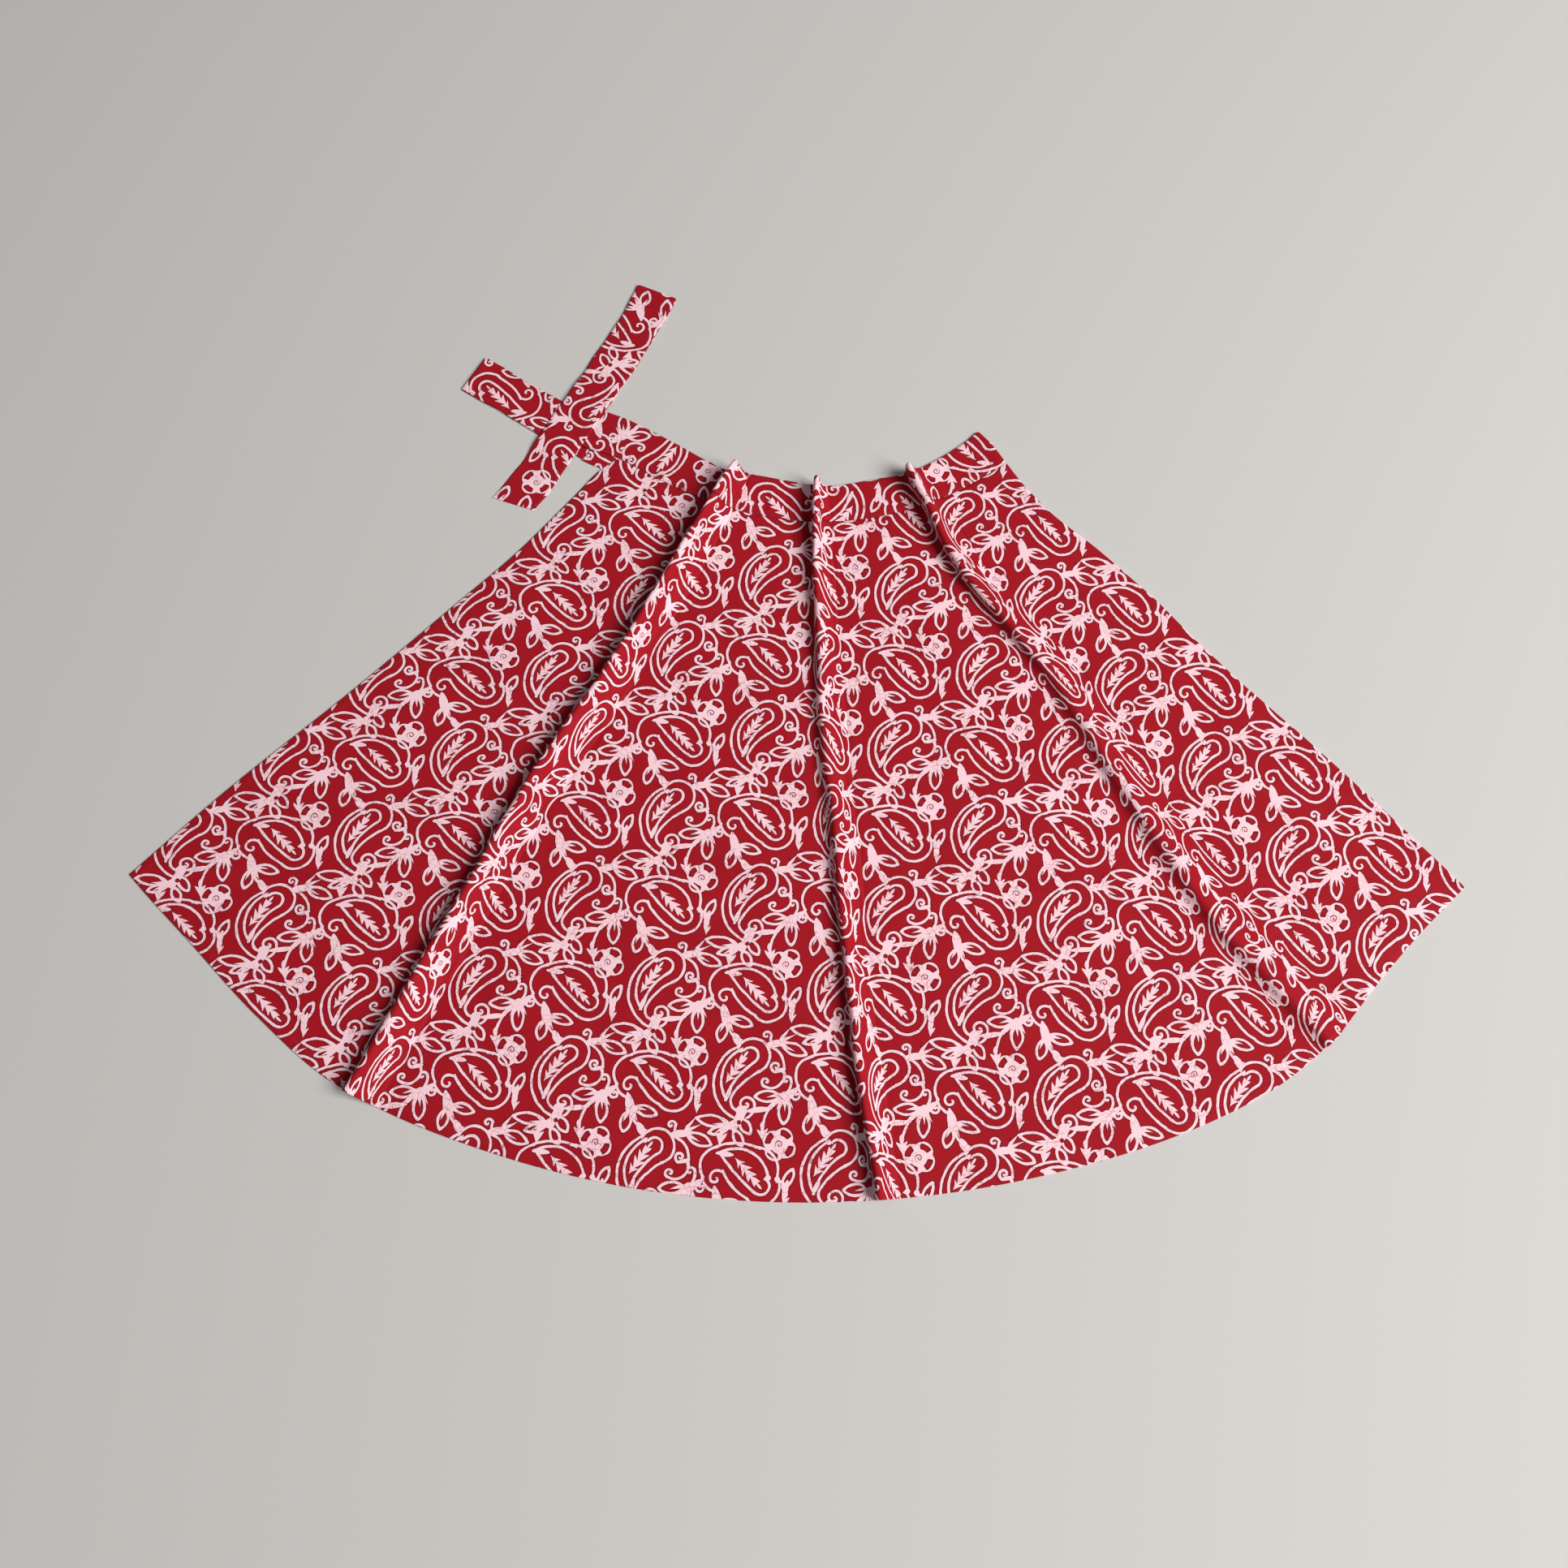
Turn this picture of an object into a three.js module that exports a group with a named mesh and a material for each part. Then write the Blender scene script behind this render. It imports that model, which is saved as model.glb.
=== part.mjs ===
// A wrap skirt of flared cut, folded in half and laid flat on its back half.
//
// The skirt is one panel, open down one side, gathered into nothing and sewn to a narrow
// waistband that runs on into a tie at each end. Lying folded in half, both open edges and
// both ties are on the left and the fold of the cloth is on the right. The front half keeps
// three soft folds that run from the waistband to the hem.
//
// Millimetres, +Z up, the hem towards -Y. The flare makes every edge an arc or a ray about
// one point, the apex, beyond the waist: a place is a bearing from -Y, positive to the
// right, in degrees, and a radius from the apex.

import * as THREE from 'three';

// ---- driving dimensions ----

const WALL = 1.5;                          // cloth wall, turned edges included
const GAP = 0.3;                           // space between neighbouring pieces
const DEGREE = Math.PI / 180;
const BACK_HEIGHT = WALL / 2;              // middle of the back half's wall
const FRONT_HEIGHT = BACK_HEIGHT + WALL + GAP;
const TIE_WIDTH = 52;

const FRONT_TOP = [
  { bearing: -58, radius: 313 },
  { bearing: -50, radius: 288 },
  { bearing: -38, radius: 272 },
  { bearing: -24, radius: 270 },
  { bearing: -12, radius: 266 },
  { bearing: -4, radius: 268 },
  { bearing: 4, radius: 273 },
  { bearing: 16, radius: 275 },
  { bearing: 24, radius: 281 },
  { bearing: 34, radius: 284 },
  { bearing: 47, radius: 288 },
];

const FRONT_SEAM = [
  { bearing: -58, radius: 376 },
  { bearing: -52, radius: 356 },
  { bearing: -45, radius: 333 },
  { bearing: -35, radius: 322 },
  { bearing: -24, radius: 318 },
  { bearing: -12, radius: 318 },
  { bearing: 0, radius: 320 },
  { bearing: 12, radius: 323 },
  { bearing: 24, radius: 328 },
  { bearing: 36, radius: 334 },
  { bearing: 46, radius: 341 },
];

const BACK_TOP = [
  { bearing: -53, radius: 318 },
  { bearing: -45, radius: 299 },
  { bearing: -36, radius: 284 },
  { bearing: -24, radius: 276 },
  { bearing: -12, radius: 272 },
  { bearing: 4, radius: 279 },
  { bearing: 24, radius: 286 },
  { bearing: 47, radius: 292 },
];

const BACK_SEAM = [
  { bearing: -53, radius: 376 },
  { bearing: -46, radius: 358 },
  { bearing: -36, radius: 336 },
  { bearing: -24, radius: 325 },
  { bearing: -12, radius: 324 },
  { bearing: 4, radius: 327 },
  { bearing: 24, radius: 333 },
  { bearing: 46, radius: 345 },
];

const HEM = [
  { bearing: -46, radius: 1084 },
  { bearing: -40, radius: 1089 },
  { bearing: -34, radius: 1105 },
  { bearing: -28, radius: 1121 },
  { bearing: -18, radius: 1120 },
  { bearing: 0, radius: 1116 },
  { bearing: 12, radius: 1116 },
  { bearing: 26, radius: 1118 },
  { bearing: 31, radius: 1106 },
  { bearing: 36, radius: 1082 },
  { bearing: 40, radius: 1071 },
  { bearing: 45, radius: 1069 },
];

const OPEN_EDGE = [
  { radius: 330, bearing: -45.0 },
  { radius: 360, bearing: -45.6 },
  { radius: 404, bearing: -45.1 },
  { radius: 500, bearing: -44.5 },
  { radius: 600, bearing: -44.8 },
  { radius: 750, bearing: -45.2 },
  { radius: 930, bearing: -45.8 },
  { radius: 1085, bearing: -45.8 },
];

const FOLDED_EDGE = [
  { radius: 265, bearing: 46.4 },
  { radius: 310, bearing: 45.7 },
  { radius: 370, bearing: 43.9 },
  { radius: 425, bearing: 43.5 },
  { radius: 500, bearing: 44.2 },
  { radius: 590, bearing: 44.3 },
  { radius: 690, bearing: 43.9 },
  { radius: 880, bearing: 44.1 },
  { radius: 1070, bearing: 43.9 },
];

// Each fold by its crest: bearing, width between its feet, height of the crest over the
// cloth, how far the crest leans to the left of its feet, and how softly it is rounded.
const LEFT_FOLD = [
  { radius: 265, bearing: -19.6, width: 23, height: 31, lean: 1, soft: 0.0 },
  { radius: 320, bearing: -21.4, width: 31, height: 31, lean: 3, soft: 0.0 },
  { radius: 420, bearing: -23.3, width: 38, height: 28, lean: 6, soft: 0.2 },
  { radius: 560, bearing: -24.8, width: 43, height: 26, lean: 5, soft: 0.35 },
  { radius: 730, bearing: -26.5, width: 46, height: 24, lean: 4, soft: 0.5 },
  { radius: 900, bearing: -26.7, width: 48, height: 23, lean: 3, soft: 0.6 },
  { radius: 1120, bearing: -27.0, width: 50, height: 22, lean: 3, soft: 0.6 },
];

const MIDDLE_FOLD = [
  { radius: 265, bearing: 1.4, width: 20, height: 28, lean: 0, soft: 0.0 },
  { radius: 320, bearing: 1.0, width: 26, height: 24, lean: 1, soft: 0.1 },
  { radius: 420, bearing: 0.9, width: 34, height: 18, lean: 2, soft: 0.5 },
  { radius: 560, bearing: 1.1, width: 44, height: 13, lean: 1, soft: 1.0 },
  { radius: 730, bearing: 2.1, width: 42, height: 14, lean: 1, soft: 0.9 },
  { radius: 900, bearing: 2.6, width: 37, height: 18, lean: 2, soft: 0.6 },
  { radius: 1120, bearing: 3.6, width: 36, height: 21, lean: 2, soft: 0.4 },
];

const RIGHT_FOLD = [
  { radius: 265, bearing: 24.6, width: 25, height: 30, lean: 1, soft: 0.0 },
  { radius: 320, bearing: 24.4, width: 34, height: 27, lean: 2, soft: 0.1 },
  { radius: 430, bearing: 25.0, width: 44, height: 20, lean: 2, soft: 0.5 },
  { radius: 560, bearing: 28.0, width: 56, height: 13, lean: 1, soft: 0.9 },
  { radius: 730, bearing: 28.6, width: 62, height: 12, lean: 0, soft: 1.0 },
  { radius: 900, bearing: 29.0, width: 64, height: 12, lean: 0, soft: 1.0 },
  { radius: 1120, bearing: 31.1, width: 64, height: 11, lean: 0, soft: 1.0 },
];

const OPEN_EDGE_BEARING = -45;              // where the open and the folded edge run, roughly
const FOLDED_EDGE_BEARING = 44;

const FOLDS = [LEFT_FOLD, MIDDLE_FOLD, RIGHT_FOLD];

// A fold's section in shares of its width and height: a steep left flank, a round crest
// and a right flank that runs out slowly. A soft fold has no overhang on its left.
const FOLD_SECTION = [
  { across: 0.00, up: 0.00 },
  { across: 0.13, up: 0.02 },
  { across: 0.23, up: 0.13 },
  { across: 0.25, up: 0.36 },
  { across: 0.22, up: 0.64 },
  { across: 0.21, up: 0.86 },
  { across: 0.28, up: 0.98 },
  { across: 0.37, up: 0.97 },
  { across: 0.45, up: 0.80 },
  { across: 0.54, up: 0.50 },
  { across: 0.67, up: 0.22 },
  { across: 0.83, up: 0.06 },
  { across: 1.00, up: 0.00 },
];
const SOFT_SECTION = [
  { across: 0.00, up: 0.00 },
  { across: 0.06, up: 0.03 },
  { across: 0.13, up: 0.13 },
  { across: 0.19, up: 0.32 },
  { across: 0.24, up: 0.56 },
  { across: 0.28, up: 0.78 },
  { across: 0.34, up: 0.95 },
  { across: 0.41, up: 0.97 },
  { across: 0.50, up: 0.84 },
  { across: 0.61, up: 0.57 },
  { across: 0.73, up: 0.28 },
  { across: 0.87, up: 0.07 },
  { across: 1.00, up: 0.00 },
];
const CREST_SHARE = 0.32;                  // where the crest stands across the section
const FOLD_STEPS = 14;

// The cloth turning over the folded edge, from the front half down to the back half:
// distance in from the edge and height of the wall's middle.
const TURN_SECTION = [
  { inward: 16.0, height: FRONT_HEIGHT },
  { inward: 8.0, height: 3.1 },
  { inward: 3.8, height: 3.5 },
  { inward: 1.4, height: 3.0 },
  { inward: WALL / 2, height: 2.1 },
  { inward: 1.3, height: 1.2 },
  { inward: 2.6, height: 0.8 },
  { inward: 4.2, height: BACK_HEIGHT },
];
const TURN_END = 4.2;
const TURN_STEPS = 10;

const HIDDEN_INSET = 4;                    // the back half ends this far inside the front's edges
const PANEL_STEPS = 6;
const SKIRT_STEPS = 18;
const BAND_STEPS = 4;
const BACK_ACROSS_STEPS = 30;

// The ties by the middle of each end, seen from above. The lower run of each lies under
// its upper run, which is cut or turned on a slant at its ends and may bow to one side.
const BACK_TIE = {
  far: { x: -418.7, y: -119.3 },
  near: { x: -266.0, y: -214.8 },
  lowerRun: 180,
  upperRun: 142,
  farSlant: 0,
  nearSlant: 0,
  bow: 0,
  lift: [
    { along: 0, height: FRONT_HEIGHT },
    { along: 142, height: FRONT_HEIGHT },
  ],
};
const FRONT_TIE = {
  far: { x: -192.3, y: -3.8 },
  near: { x: -362.1, y: -296.2 },
  lowerRun: 184,
  upperRun: 338,
  farSlant: 7,
  nearSlant: 11,
  bow: 6,
  lift: [
    { along: 0, height: FRONT_HEIGHT },
    { along: 138, height: FRONT_HEIGHT },
    { along: 164, height: FRONT_HEIGHT + WALL + GAP },
    { along: 252, height: FRONT_HEIGHT + WALL + GAP },
    { along: 284, height: BACK_HEIGHT },
    { along: 338, height: BACK_HEIGHT },
  ],
};

// The tie doubling back at its far end: distance in from the end and height of the middle.
const TIE_TURN = [
  { inward: 12.0, height: BACK_HEIGHT },
  { inward: 4.5, height: BACK_HEIGHT },
  { inward: 1.8, height: 0.95 },
  { inward: WALL / 2, height: 1.8 },
  { inward: 1.6, height: 2.8 },
  { inward: 5.0, height: 3.05 },
  { inward: 12.0, height: FRONT_HEIGHT },
];
const TIE_TURN_STEPS = 12;
const TIE_STEP = 10;
const FAR_SLANT_REACH = 60;                // the far slant dies out this far along the tie
const TIE_ACROSS_STEPS = 4;

// ---- reading the tables ----

// Smooth curve through one column of a table, against another that rises row by row.
function read(table, key, column, at) {
  const last = table.length - 1;
  let row = 0;
  while (row < last - 1 && at > table[row + 1][key]) {
    row += 1;
  }
  const slopeAt = (index) => {
    const before = table[Math.max(index - 1, 0)];
    const after = table[Math.min(index + 1, last)];
    return (after[column] - before[column]) / (after[key] - before[key]);
  };
  const from = table[row];
  const to = table[row + 1];
  const span = to[key] - from[key];
  const share = THREE.MathUtils.clamp((at - from[key]) / span, 0, 1);
  const fall = (1 + 2 * share) * (1 - share) ** 2;
  const rise = share ** 2 * (3 - 2 * share);
  const leave = share * (1 - share) ** 2 * span * slopeAt(row);
  const arrive = share ** 2 * (share - 1) * span * slopeAt(row + 1);
  return fall * from[column] + rise * to[column] + leave + arrive;
}

// Even points along the smooth curve through a section table.
function sectionPoints(table, acrossKey, upKey, steps) {
  const corners = table.map((row) => new THREE.Vector2(row[acrossKey], row[upKey]));
  return new THREE.SplineCurve(corners).getPoints(steps);
}

// ---- closed walls ----

// One closed wall from two grids of points: its upper and its lower face, row by row.
function closedWall(upper, lower) {
  const rows = upper.length;
  const columns = upper[0].length;
  const positions = [...upper.flat(), ...lower.flat()].flatMap((point) => point.toArray());
  const faces = [];
  const top = (row, column) => row * columns + column;
  const bottom = (row, column) => (rows + row) * columns + column;
  const quad = (a, b, c, d) => faces.push(a, b, c, a, c, d);
  for (let row = 0; row < rows - 1; row += 1) {
    for (let column = 0; column < columns - 1; column += 1) {
      quad(top(row, column), top(row + 1, column), top(row + 1, column + 1), top(row, column + 1));
      quad(bottom(row, column), bottom(row, column + 1), bottom(row + 1, column + 1),
        bottom(row + 1, column));
    }
    const end = columns - 1;
    quad(top(row, 0), bottom(row, 0), bottom(row + 1, 0), top(row + 1, 0));
    quad(top(row, end), top(row + 1, end), bottom(row + 1, end), bottom(row, end));
  }
  for (let column = 0; column < columns - 1; column += 1) {
    const end = rows - 1;
    quad(top(0, column), top(0, column + 1), bottom(0, column + 1), bottom(0, column));
    quad(top(end, column), bottom(end, column), bottom(end, column + 1), top(end, column + 1));
  }
  const geometry = new THREE.BufferGeometry();
  geometry.setAttribute('position', new THREE.Float32BufferAttribute(positions, 3));
  geometry.setIndex(faces);
  geometry.computeVertexNormals();
  return geometry;
}

// The two faces of a wall round a section line of {across, up} points, as two such lines.
function wallAbout(line) {
  const faces = { upper: [], lower: [] };
  line.forEach((point, index) => {
    const before = line[Math.max(index - 1, 0)];
    const after = line[Math.min(index + 1, line.length - 1)];
    const normal = new THREE.Vector2(before.y - after.y, after.x - before.x).setLength(WALL / 2);
    faces.upper.push(point.clone().add(normal));
    faces.lower.push(point.clone().sub(normal));
  });
  return faces;
}

// ---- the skirt and the waistband ----

function polar(bearing, radius, height) {
  const angle = bearing * DEGREE;
  return new THREE.Vector3(radius * Math.sin(angle), -radius * Math.cos(angle), height);
}

// A row runs across a piece at one share of the way from its inner to its outer outline.
// Its section is laid out along a round arc of the radius that the row has at bearing 0.
class Row {
  constructor(inner, outer, share) {
    this.share = share;
    this.radiusAt = (bearing) => THREE.MathUtils.lerp(
      read(inner, 'bearing', 'radius', bearing), read(outer, 'bearing', 'radius', bearing), share);
    this.nominal = this.radiusAt(0);
  }

  // Where a bearing, and a distance aside from it, falls on the round arc.
  onArc(bearing, aside) {
    return (bearing * DEGREE + aside / this.radiusAt(bearing)) * this.nominal;
  }

  place(point) {
    const bearing = point.x / this.nominal / DEGREE;
    return polar(bearing, this.radiusAt(bearing), point.y);
  }

  foldedEdge() {
    return read(FOLDED_EDGE, 'radius', 'bearing', this.radiusAt(FOLDED_EDGE_BEARING));
  }
}

// Points of one fold along a row, as {x: place on the arc, y: height}.
function foldLine(fold, row) {
  const radius = row.radiusAt(fold[0].bearing);
  const crest = read(fold, 'radius', 'bearing', radius);
  const width = read(fold, 'radius', 'width', radius);
  const height = read(fold, 'radius', 'height', radius);
  const lean = read(fold, 'radius', 'lean', radius);
  const soft = read(fold, 'radius', 'soft', radius);
  const rounded = sectionPoints(SOFT_SECTION, 'across', 'up', FOLD_STEPS);
  return sectionPoints(FOLD_SECTION, 'across', 'up', FOLD_STEPS).map((firm, step) => {
    const share = firm.clone().lerp(rounded[step], soft);
    const up = Math.max(share.y, 0);
    const settle = lean * (1 - up ** 1.5);
    const aside = (share.x - CREST_SHARE) * width + settle;
    return new THREE.Vector2(row.onArc(crest, aside), FRONT_HEIGHT + up * height);
  });
}

// Section of the front half along a row, from the bearings at its left end over the folds to
// the turned edge.
function frontLine(row, leftBearings) {
  const line = leftBearings.map((bearing) => new THREE.Vector2(row.onArc(bearing, 0), FRONT_HEIGHT));
  const turn = sectionPoints(TURN_SECTION, 'inward', 'height', TURN_STEPS)
    .map((point) => new THREE.Vector2(row.onArc(row.foldedEdge(), -point.x), point.y));
  [...FOLDS.map((fold) => foldLine(fold, row)), turn].forEach((stretch) => {
    const start = line[line.length - 1];
    for (let step = 1; step < PANEL_STEPS; step += 1) {
      line.push(start.clone().lerp(stretch[0], step / PANEL_STEPS));
    }
    line.push(...stretch);
  });
  return line;
}

// A piece of the front half between two outlines, with its folds and its turned edge.
function frontPiece(inner, outer, steps, leftBearingsAt) {
  const upper = [];
  const lower = [];
  for (let step = 0; step <= steps; step += 1) {
    const row = new Row(inner, outer, step / steps);
    const faces = wallAbout(frontLine(row, leftBearingsAt(row)));
    upper.push(faces.upper.map((point) => row.place(point)));
    lower.push(faces.lower.map((point) => row.place(point)));
  }
  return closedWall(upper, lower);
}

// A flat piece of the back half between two outlines, ending where the turned edge begins.
function backPiece(inner, outer, steps, leftBearingAt) {
  const upper = [];
  const lower = [];
  for (let step = 0; step <= steps; step += 1) {
    const row = new Row(inner, outer, step / steps);
    const left = row.onArc(leftBearingAt(row), 0);
    const right = row.onArc(row.foldedEdge(), -TURN_END - GAP);
    const upperRow = [];
    const lowerRow = [];
    for (let across = 0; across <= BACK_ACROSS_STEPS; across += 1) {
      const x = THREE.MathUtils.lerp(left, right, across / BACK_ACROSS_STEPS);
      upperRow.push(row.place({ x, y: WALL }));
      lowerRow.push(row.place({ x, y: 0 }));
    }
    upper.push(upperRow);
    lower.push(lowerRow);
  }
  return closedWall(upper, lower);
}

function movedOut(table, distance) {
  return table.map((row) => ({ ...row, radius: row.radius + distance }));
}

const openEdgeAt = (row) => read(OPEN_EDGE, 'radius', 'bearing', row.radiusAt(OPEN_EDGE_BEARING));
const hiddenEdgeAt = (row) => {
  const inset = HIDDEN_INSET / row.radiusAt(OPEN_EDGE_BEARING) / DEGREE;
  return openEdgeAt(row) + inset;
};

// The waistband's front end runs on past the skirt's corner and is tucked under its tie.
const bandEndAt = (row) => {
  const end = THREE.MathUtils.lerp(-57, -52.5, row.share);
  const corner = OPEN_EDGE[0].bearing;
  return [end, (end + corner) / 2, corner];
};

// Its back end is cut square where its tie is sewn on.
const backBandEndAt = (row) => {
  const { start, ahead, aside } = tieDirections(BACK_TIE);
  const end = start.clone().addScaledVector(ahead, BACK_TIE.lowerRun + 2 * GAP)
    .addScaledVector(aside, (0.5 - row.share) * TIE_WIDTH);
  return Math.atan2(end.x, -end.y) / DEGREE;
};

// ---- the ties ----

// Where a tie starts, the way along it and the way across it to its upper left.
function tieDirections({ far, near }) {
  const start = new THREE.Vector2(far.x, far.y);
  const ahead = new THREE.Vector2(near.x, near.y).sub(start).normalize();
  const aside = new THREE.Vector2(-ahead.y, ahead.x);
  return { start, ahead, aside };
}

// A flat strip doubled back on itself at its far end: a line of distances along the strip
// and heights is walled, then carried across the strip's width.
function tie(strip) {
  const { lowerRun, upperRun, lift } = strip;
  const turn = sectionPoints(TIE_TURN, 'inward', 'height', TIE_TURN_STEPS);
  const line = [];
  const lowerSteps = Math.round((lowerRun - turn[0].x) / TIE_STEP);
  for (let step = 0; step < lowerSteps; step += 1) {
    line.push(new THREE.Vector2(THREE.MathUtils.lerp(lowerRun, turn[0].x, step / lowerSteps), turn[0].y));
  }
  line.push(...turn);
  const turned = turn[turn.length - 1].x;
  const upperSteps = Math.round((upperRun - turned) / TIE_STEP);
  for (let step = 1; step <= upperSteps; step += 1) {
    const along = THREE.MathUtils.lerp(turned, upperRun, step / upperSteps);
    line.push(new THREE.Vector2(along, read(lift, 'along', 'height', along)));
  }
  const faces = wallAbout(line);
  const { start, ahead, aside } = tieDirections(strip);
  const place = (side) => (point, index) => {
    const nearCut = index === line.length - 1 ? strip.nearSlant : 0;
    const farCut = strip.farSlant * Math.max(0, 1 - point.x / FAR_SLANT_REACH);
    const bow = strip.bow * (1 - (2 * point.x / upperRun - 1) ** 4);
    const plan = start.clone()
      .addScaledVector(ahead, point.x + (nearCut + farCut) * side)
      .addScaledVector(aside, bow - side * TIE_WIDTH);
    return new THREE.Vector3(plan.x, plan.y, point.y);
  };
  const upper = [];
  const lower = [];
  for (let step = 0; step <= TIE_ACROSS_STEPS; step += 1) {
    const side = step / TIE_ACROSS_STEPS - 0.5;
    upper.push(faces.upper.map(place(side)));
    lower.push(faces.lower.map(place(side)));
  }
  return closedWall(upper, lower);
}

// ---- the scene ----

const CLOTH_RED = 0xb5141d;

function piece(name, geometry) {
  const material = new THREE.MeshStandardMaterial({ color: CLOTH_RED, roughness: 0.85, metalness: 0 });
  const mesh = new THREE.Mesh(geometry, material);
  mesh.name = name;
  return mesh;
}

const skirt = new THREE.Group();
const cut = new THREE.Group();             // the arcs, drawn about the apex
cut.add(
  piece('skirt_back', backPiece(
    movedOut(BACK_SEAM, GAP), movedOut(HEM, -HIDDEN_INSET), SKIRT_STEPS, hiddenEdgeAt)),
  piece('waistband_back', backPiece(BACK_TOP, BACK_SEAM, BAND_STEPS, backBandEndAt)),
  piece('skirt_front', frontPiece(movedOut(FRONT_SEAM, GAP), HEM, SKIRT_STEPS, (row) => [openEdgeAt(row)])),
  piece('waistband_front', frontPiece(FRONT_TOP, FRONT_SEAM, BAND_STEPS, bandEndAt)),
  piece('tie_back', tie(BACK_TIE)),
  piece('tie_front', tie(FRONT_TIE)),
);
skirt.add(cut);

// The origin is on the surface that the skirt lies on, under the middle of its outline.
const outline = new THREE.Box3().setFromObject(skirt);
const middle = outline.getCenter(new THREE.Vector3());
cut.position.set(-middle.x, -middle.y, 0);

export default skirt;
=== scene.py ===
"""A printed cotton wrap skirt, folded in half and laid flat, with its two ties crossed at the upper left.

The file follows the skirt as it lies: the surface and the light, the printed cotton, the half
underneath, the half on top with its three soft folds, the waistband, the two ties and the stitching.
"""

import bpy
import numpy as np
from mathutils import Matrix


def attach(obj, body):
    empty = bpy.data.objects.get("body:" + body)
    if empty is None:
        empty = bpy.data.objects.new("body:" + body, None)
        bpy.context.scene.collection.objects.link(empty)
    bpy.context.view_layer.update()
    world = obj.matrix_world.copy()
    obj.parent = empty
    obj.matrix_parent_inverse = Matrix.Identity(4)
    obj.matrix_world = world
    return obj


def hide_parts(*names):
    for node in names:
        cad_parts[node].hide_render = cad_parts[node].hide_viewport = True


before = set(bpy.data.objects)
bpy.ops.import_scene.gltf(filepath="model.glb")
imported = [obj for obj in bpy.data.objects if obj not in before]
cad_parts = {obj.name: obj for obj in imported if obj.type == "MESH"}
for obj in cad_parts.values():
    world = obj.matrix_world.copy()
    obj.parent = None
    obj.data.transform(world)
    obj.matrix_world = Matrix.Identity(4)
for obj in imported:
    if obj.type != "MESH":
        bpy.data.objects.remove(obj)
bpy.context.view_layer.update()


# ---- the surface, the camera and the light ----
# The skirt lies on a plain pale studio floor, seen from almost straight above. A large soft lamp
# stands low on the right, so that each fold shades the cloth on its left, and the room fills in.

MM = 0.001
FLOOR_HALF_SIZE = 9.0
FLOOR_COLOUR = (0.60, 0.585, 0.565, 1.0)


def in_scene(name, data):
    """A new object that holds the data, put into the scene."""
    made = bpy.data.objects.new(name, data)
    bpy.context.scene.collection.objects.link(made)
    return made


def plain_material(name, colour, roughness):
    """A material of one colour and roughness, and its shader."""
    made = bpy.data.materials.new(name)
    made.use_nodes = True
    shader = made.node_tree.nodes["Principled BSDF"]
    shader.inputs["Base Color"].default_value = colour
    shader.inputs["Roughness"].default_value = roughness
    return made, shader


floor_mesh = bpy.data.meshes.new("studio_floor")
floor_corners = FLOOR_HALF_SIZE * np.array([(-1, -1, 0), (1, -1, 0), (1, 1, 0), (-1, 1, 0)])
floor_mesh.from_pydata(floor_corners.tolist(), [], [(0, 1, 2, 3)])
floor_mesh.materials.append(plain_material("pale_floor", FLOOR_COLOUR, 0.85)[0])
in_scene("studio_floor", floor_mesh)

CAMERA_ELEVATION = np.radians(75)
CAMERA_DISTANCE = 1.765
CAMERA_AIM = np.array([-0.014, -0.094, 0.0])
camera_data = bpy.data.cameras.new("studio_camera")
camera_data.lens = 35
camera_data.sensor_width = 36
camera = in_scene("studio_camera", camera_data)
camera_back = np.array([0, -np.cos(CAMERA_ELEVATION), np.sin(CAMERA_ELEVATION)])
camera.location = CAMERA_AIM + CAMERA_DISTANCE * camera_back
camera.rotation_euler = (np.pi / 2 - CAMERA_ELEVATION, 0, 0)
bpy.context.scene.camera = camera


def softbox(name, place, size, power, colour):
    """A square lamp at a place, turned so that it faces the middle of the skirt."""
    data = bpy.data.lights.new(name, "AREA")
    data.shape = "SQUARE"
    data.size = size
    data.energy = power
    data.color = colour
    lamp = in_scene(name, data)
    lamp.location = place
    towards = np.array(place) / np.linalg.norm(place)
    lamp.rotation_euler = (np.arccos(towards[2]), 0, np.arctan2(towards[1], towards[0]) + np.pi / 2)


softbox("key_softbox", (5.0, -1.7, 5.4), 4.2, 740, (1.0, 0.985, 0.97))
softbox("fill_softbox", (-1.6, 1.2, 3.2), 3.0, 6, (0.97, 0.98, 1.0))

studio_air = bpy.data.worlds.new("studio_air")
studio_air.use_nodes = True
studio_air.node_tree.nodes["Background"].inputs["Color"].default_value = (0.95, 0.97, 1.0, 1.0)
studio_air.node_tree.nodes["Background"].inputs["Strength"].default_value = 0.10
bpy.context.scene.world = studio_air
bpy.context.scene.view_settings.view_transform = "Standard"


# ---- the printed cotton ----
# Every piece is cut from one plain-woven cotton, printed in red by a wax resist: the pattern stays
# white, with a dark line along its edges where the dye gathered and fine cracks where the wax broke.

RED = (0.38, 0.0045, 0.0125, 1.0)
DARK_RED = (0.11, 0.003, 0.008, 1.0)
RESIST_WHITE = (0.97, 0.66, 0.72, 1.0)
REPEAT_SIDE = 141.42  # mm, the side of the print's square repeat
HALF_LINE = 1.4  # mm, half the width of a drawn line

printed_cotton = bpy.data.materials.new("printed_cotton")
printed_cotton.use_nodes = True
cotton_nodes = printed_cotton.node_tree.nodes
cotton_links = printed_cotton.node_tree.links


def node(kind, inputs, **settings):
    """Adds a node to the cotton with its settings, and joins or sets its inputs in their order."""
    made = cotton_nodes.new("ShaderNode" + kind)
    for setting, value in settings.items():
        setattr(made, setting, value)
    for socket, value in zip(made.inputs, inputs):
        if isinstance(value, bpy.types.NodeSocket):
            cotton_links.new(value, socket)
        elif value is not None:
            socket.default_value = value
    return made


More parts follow.
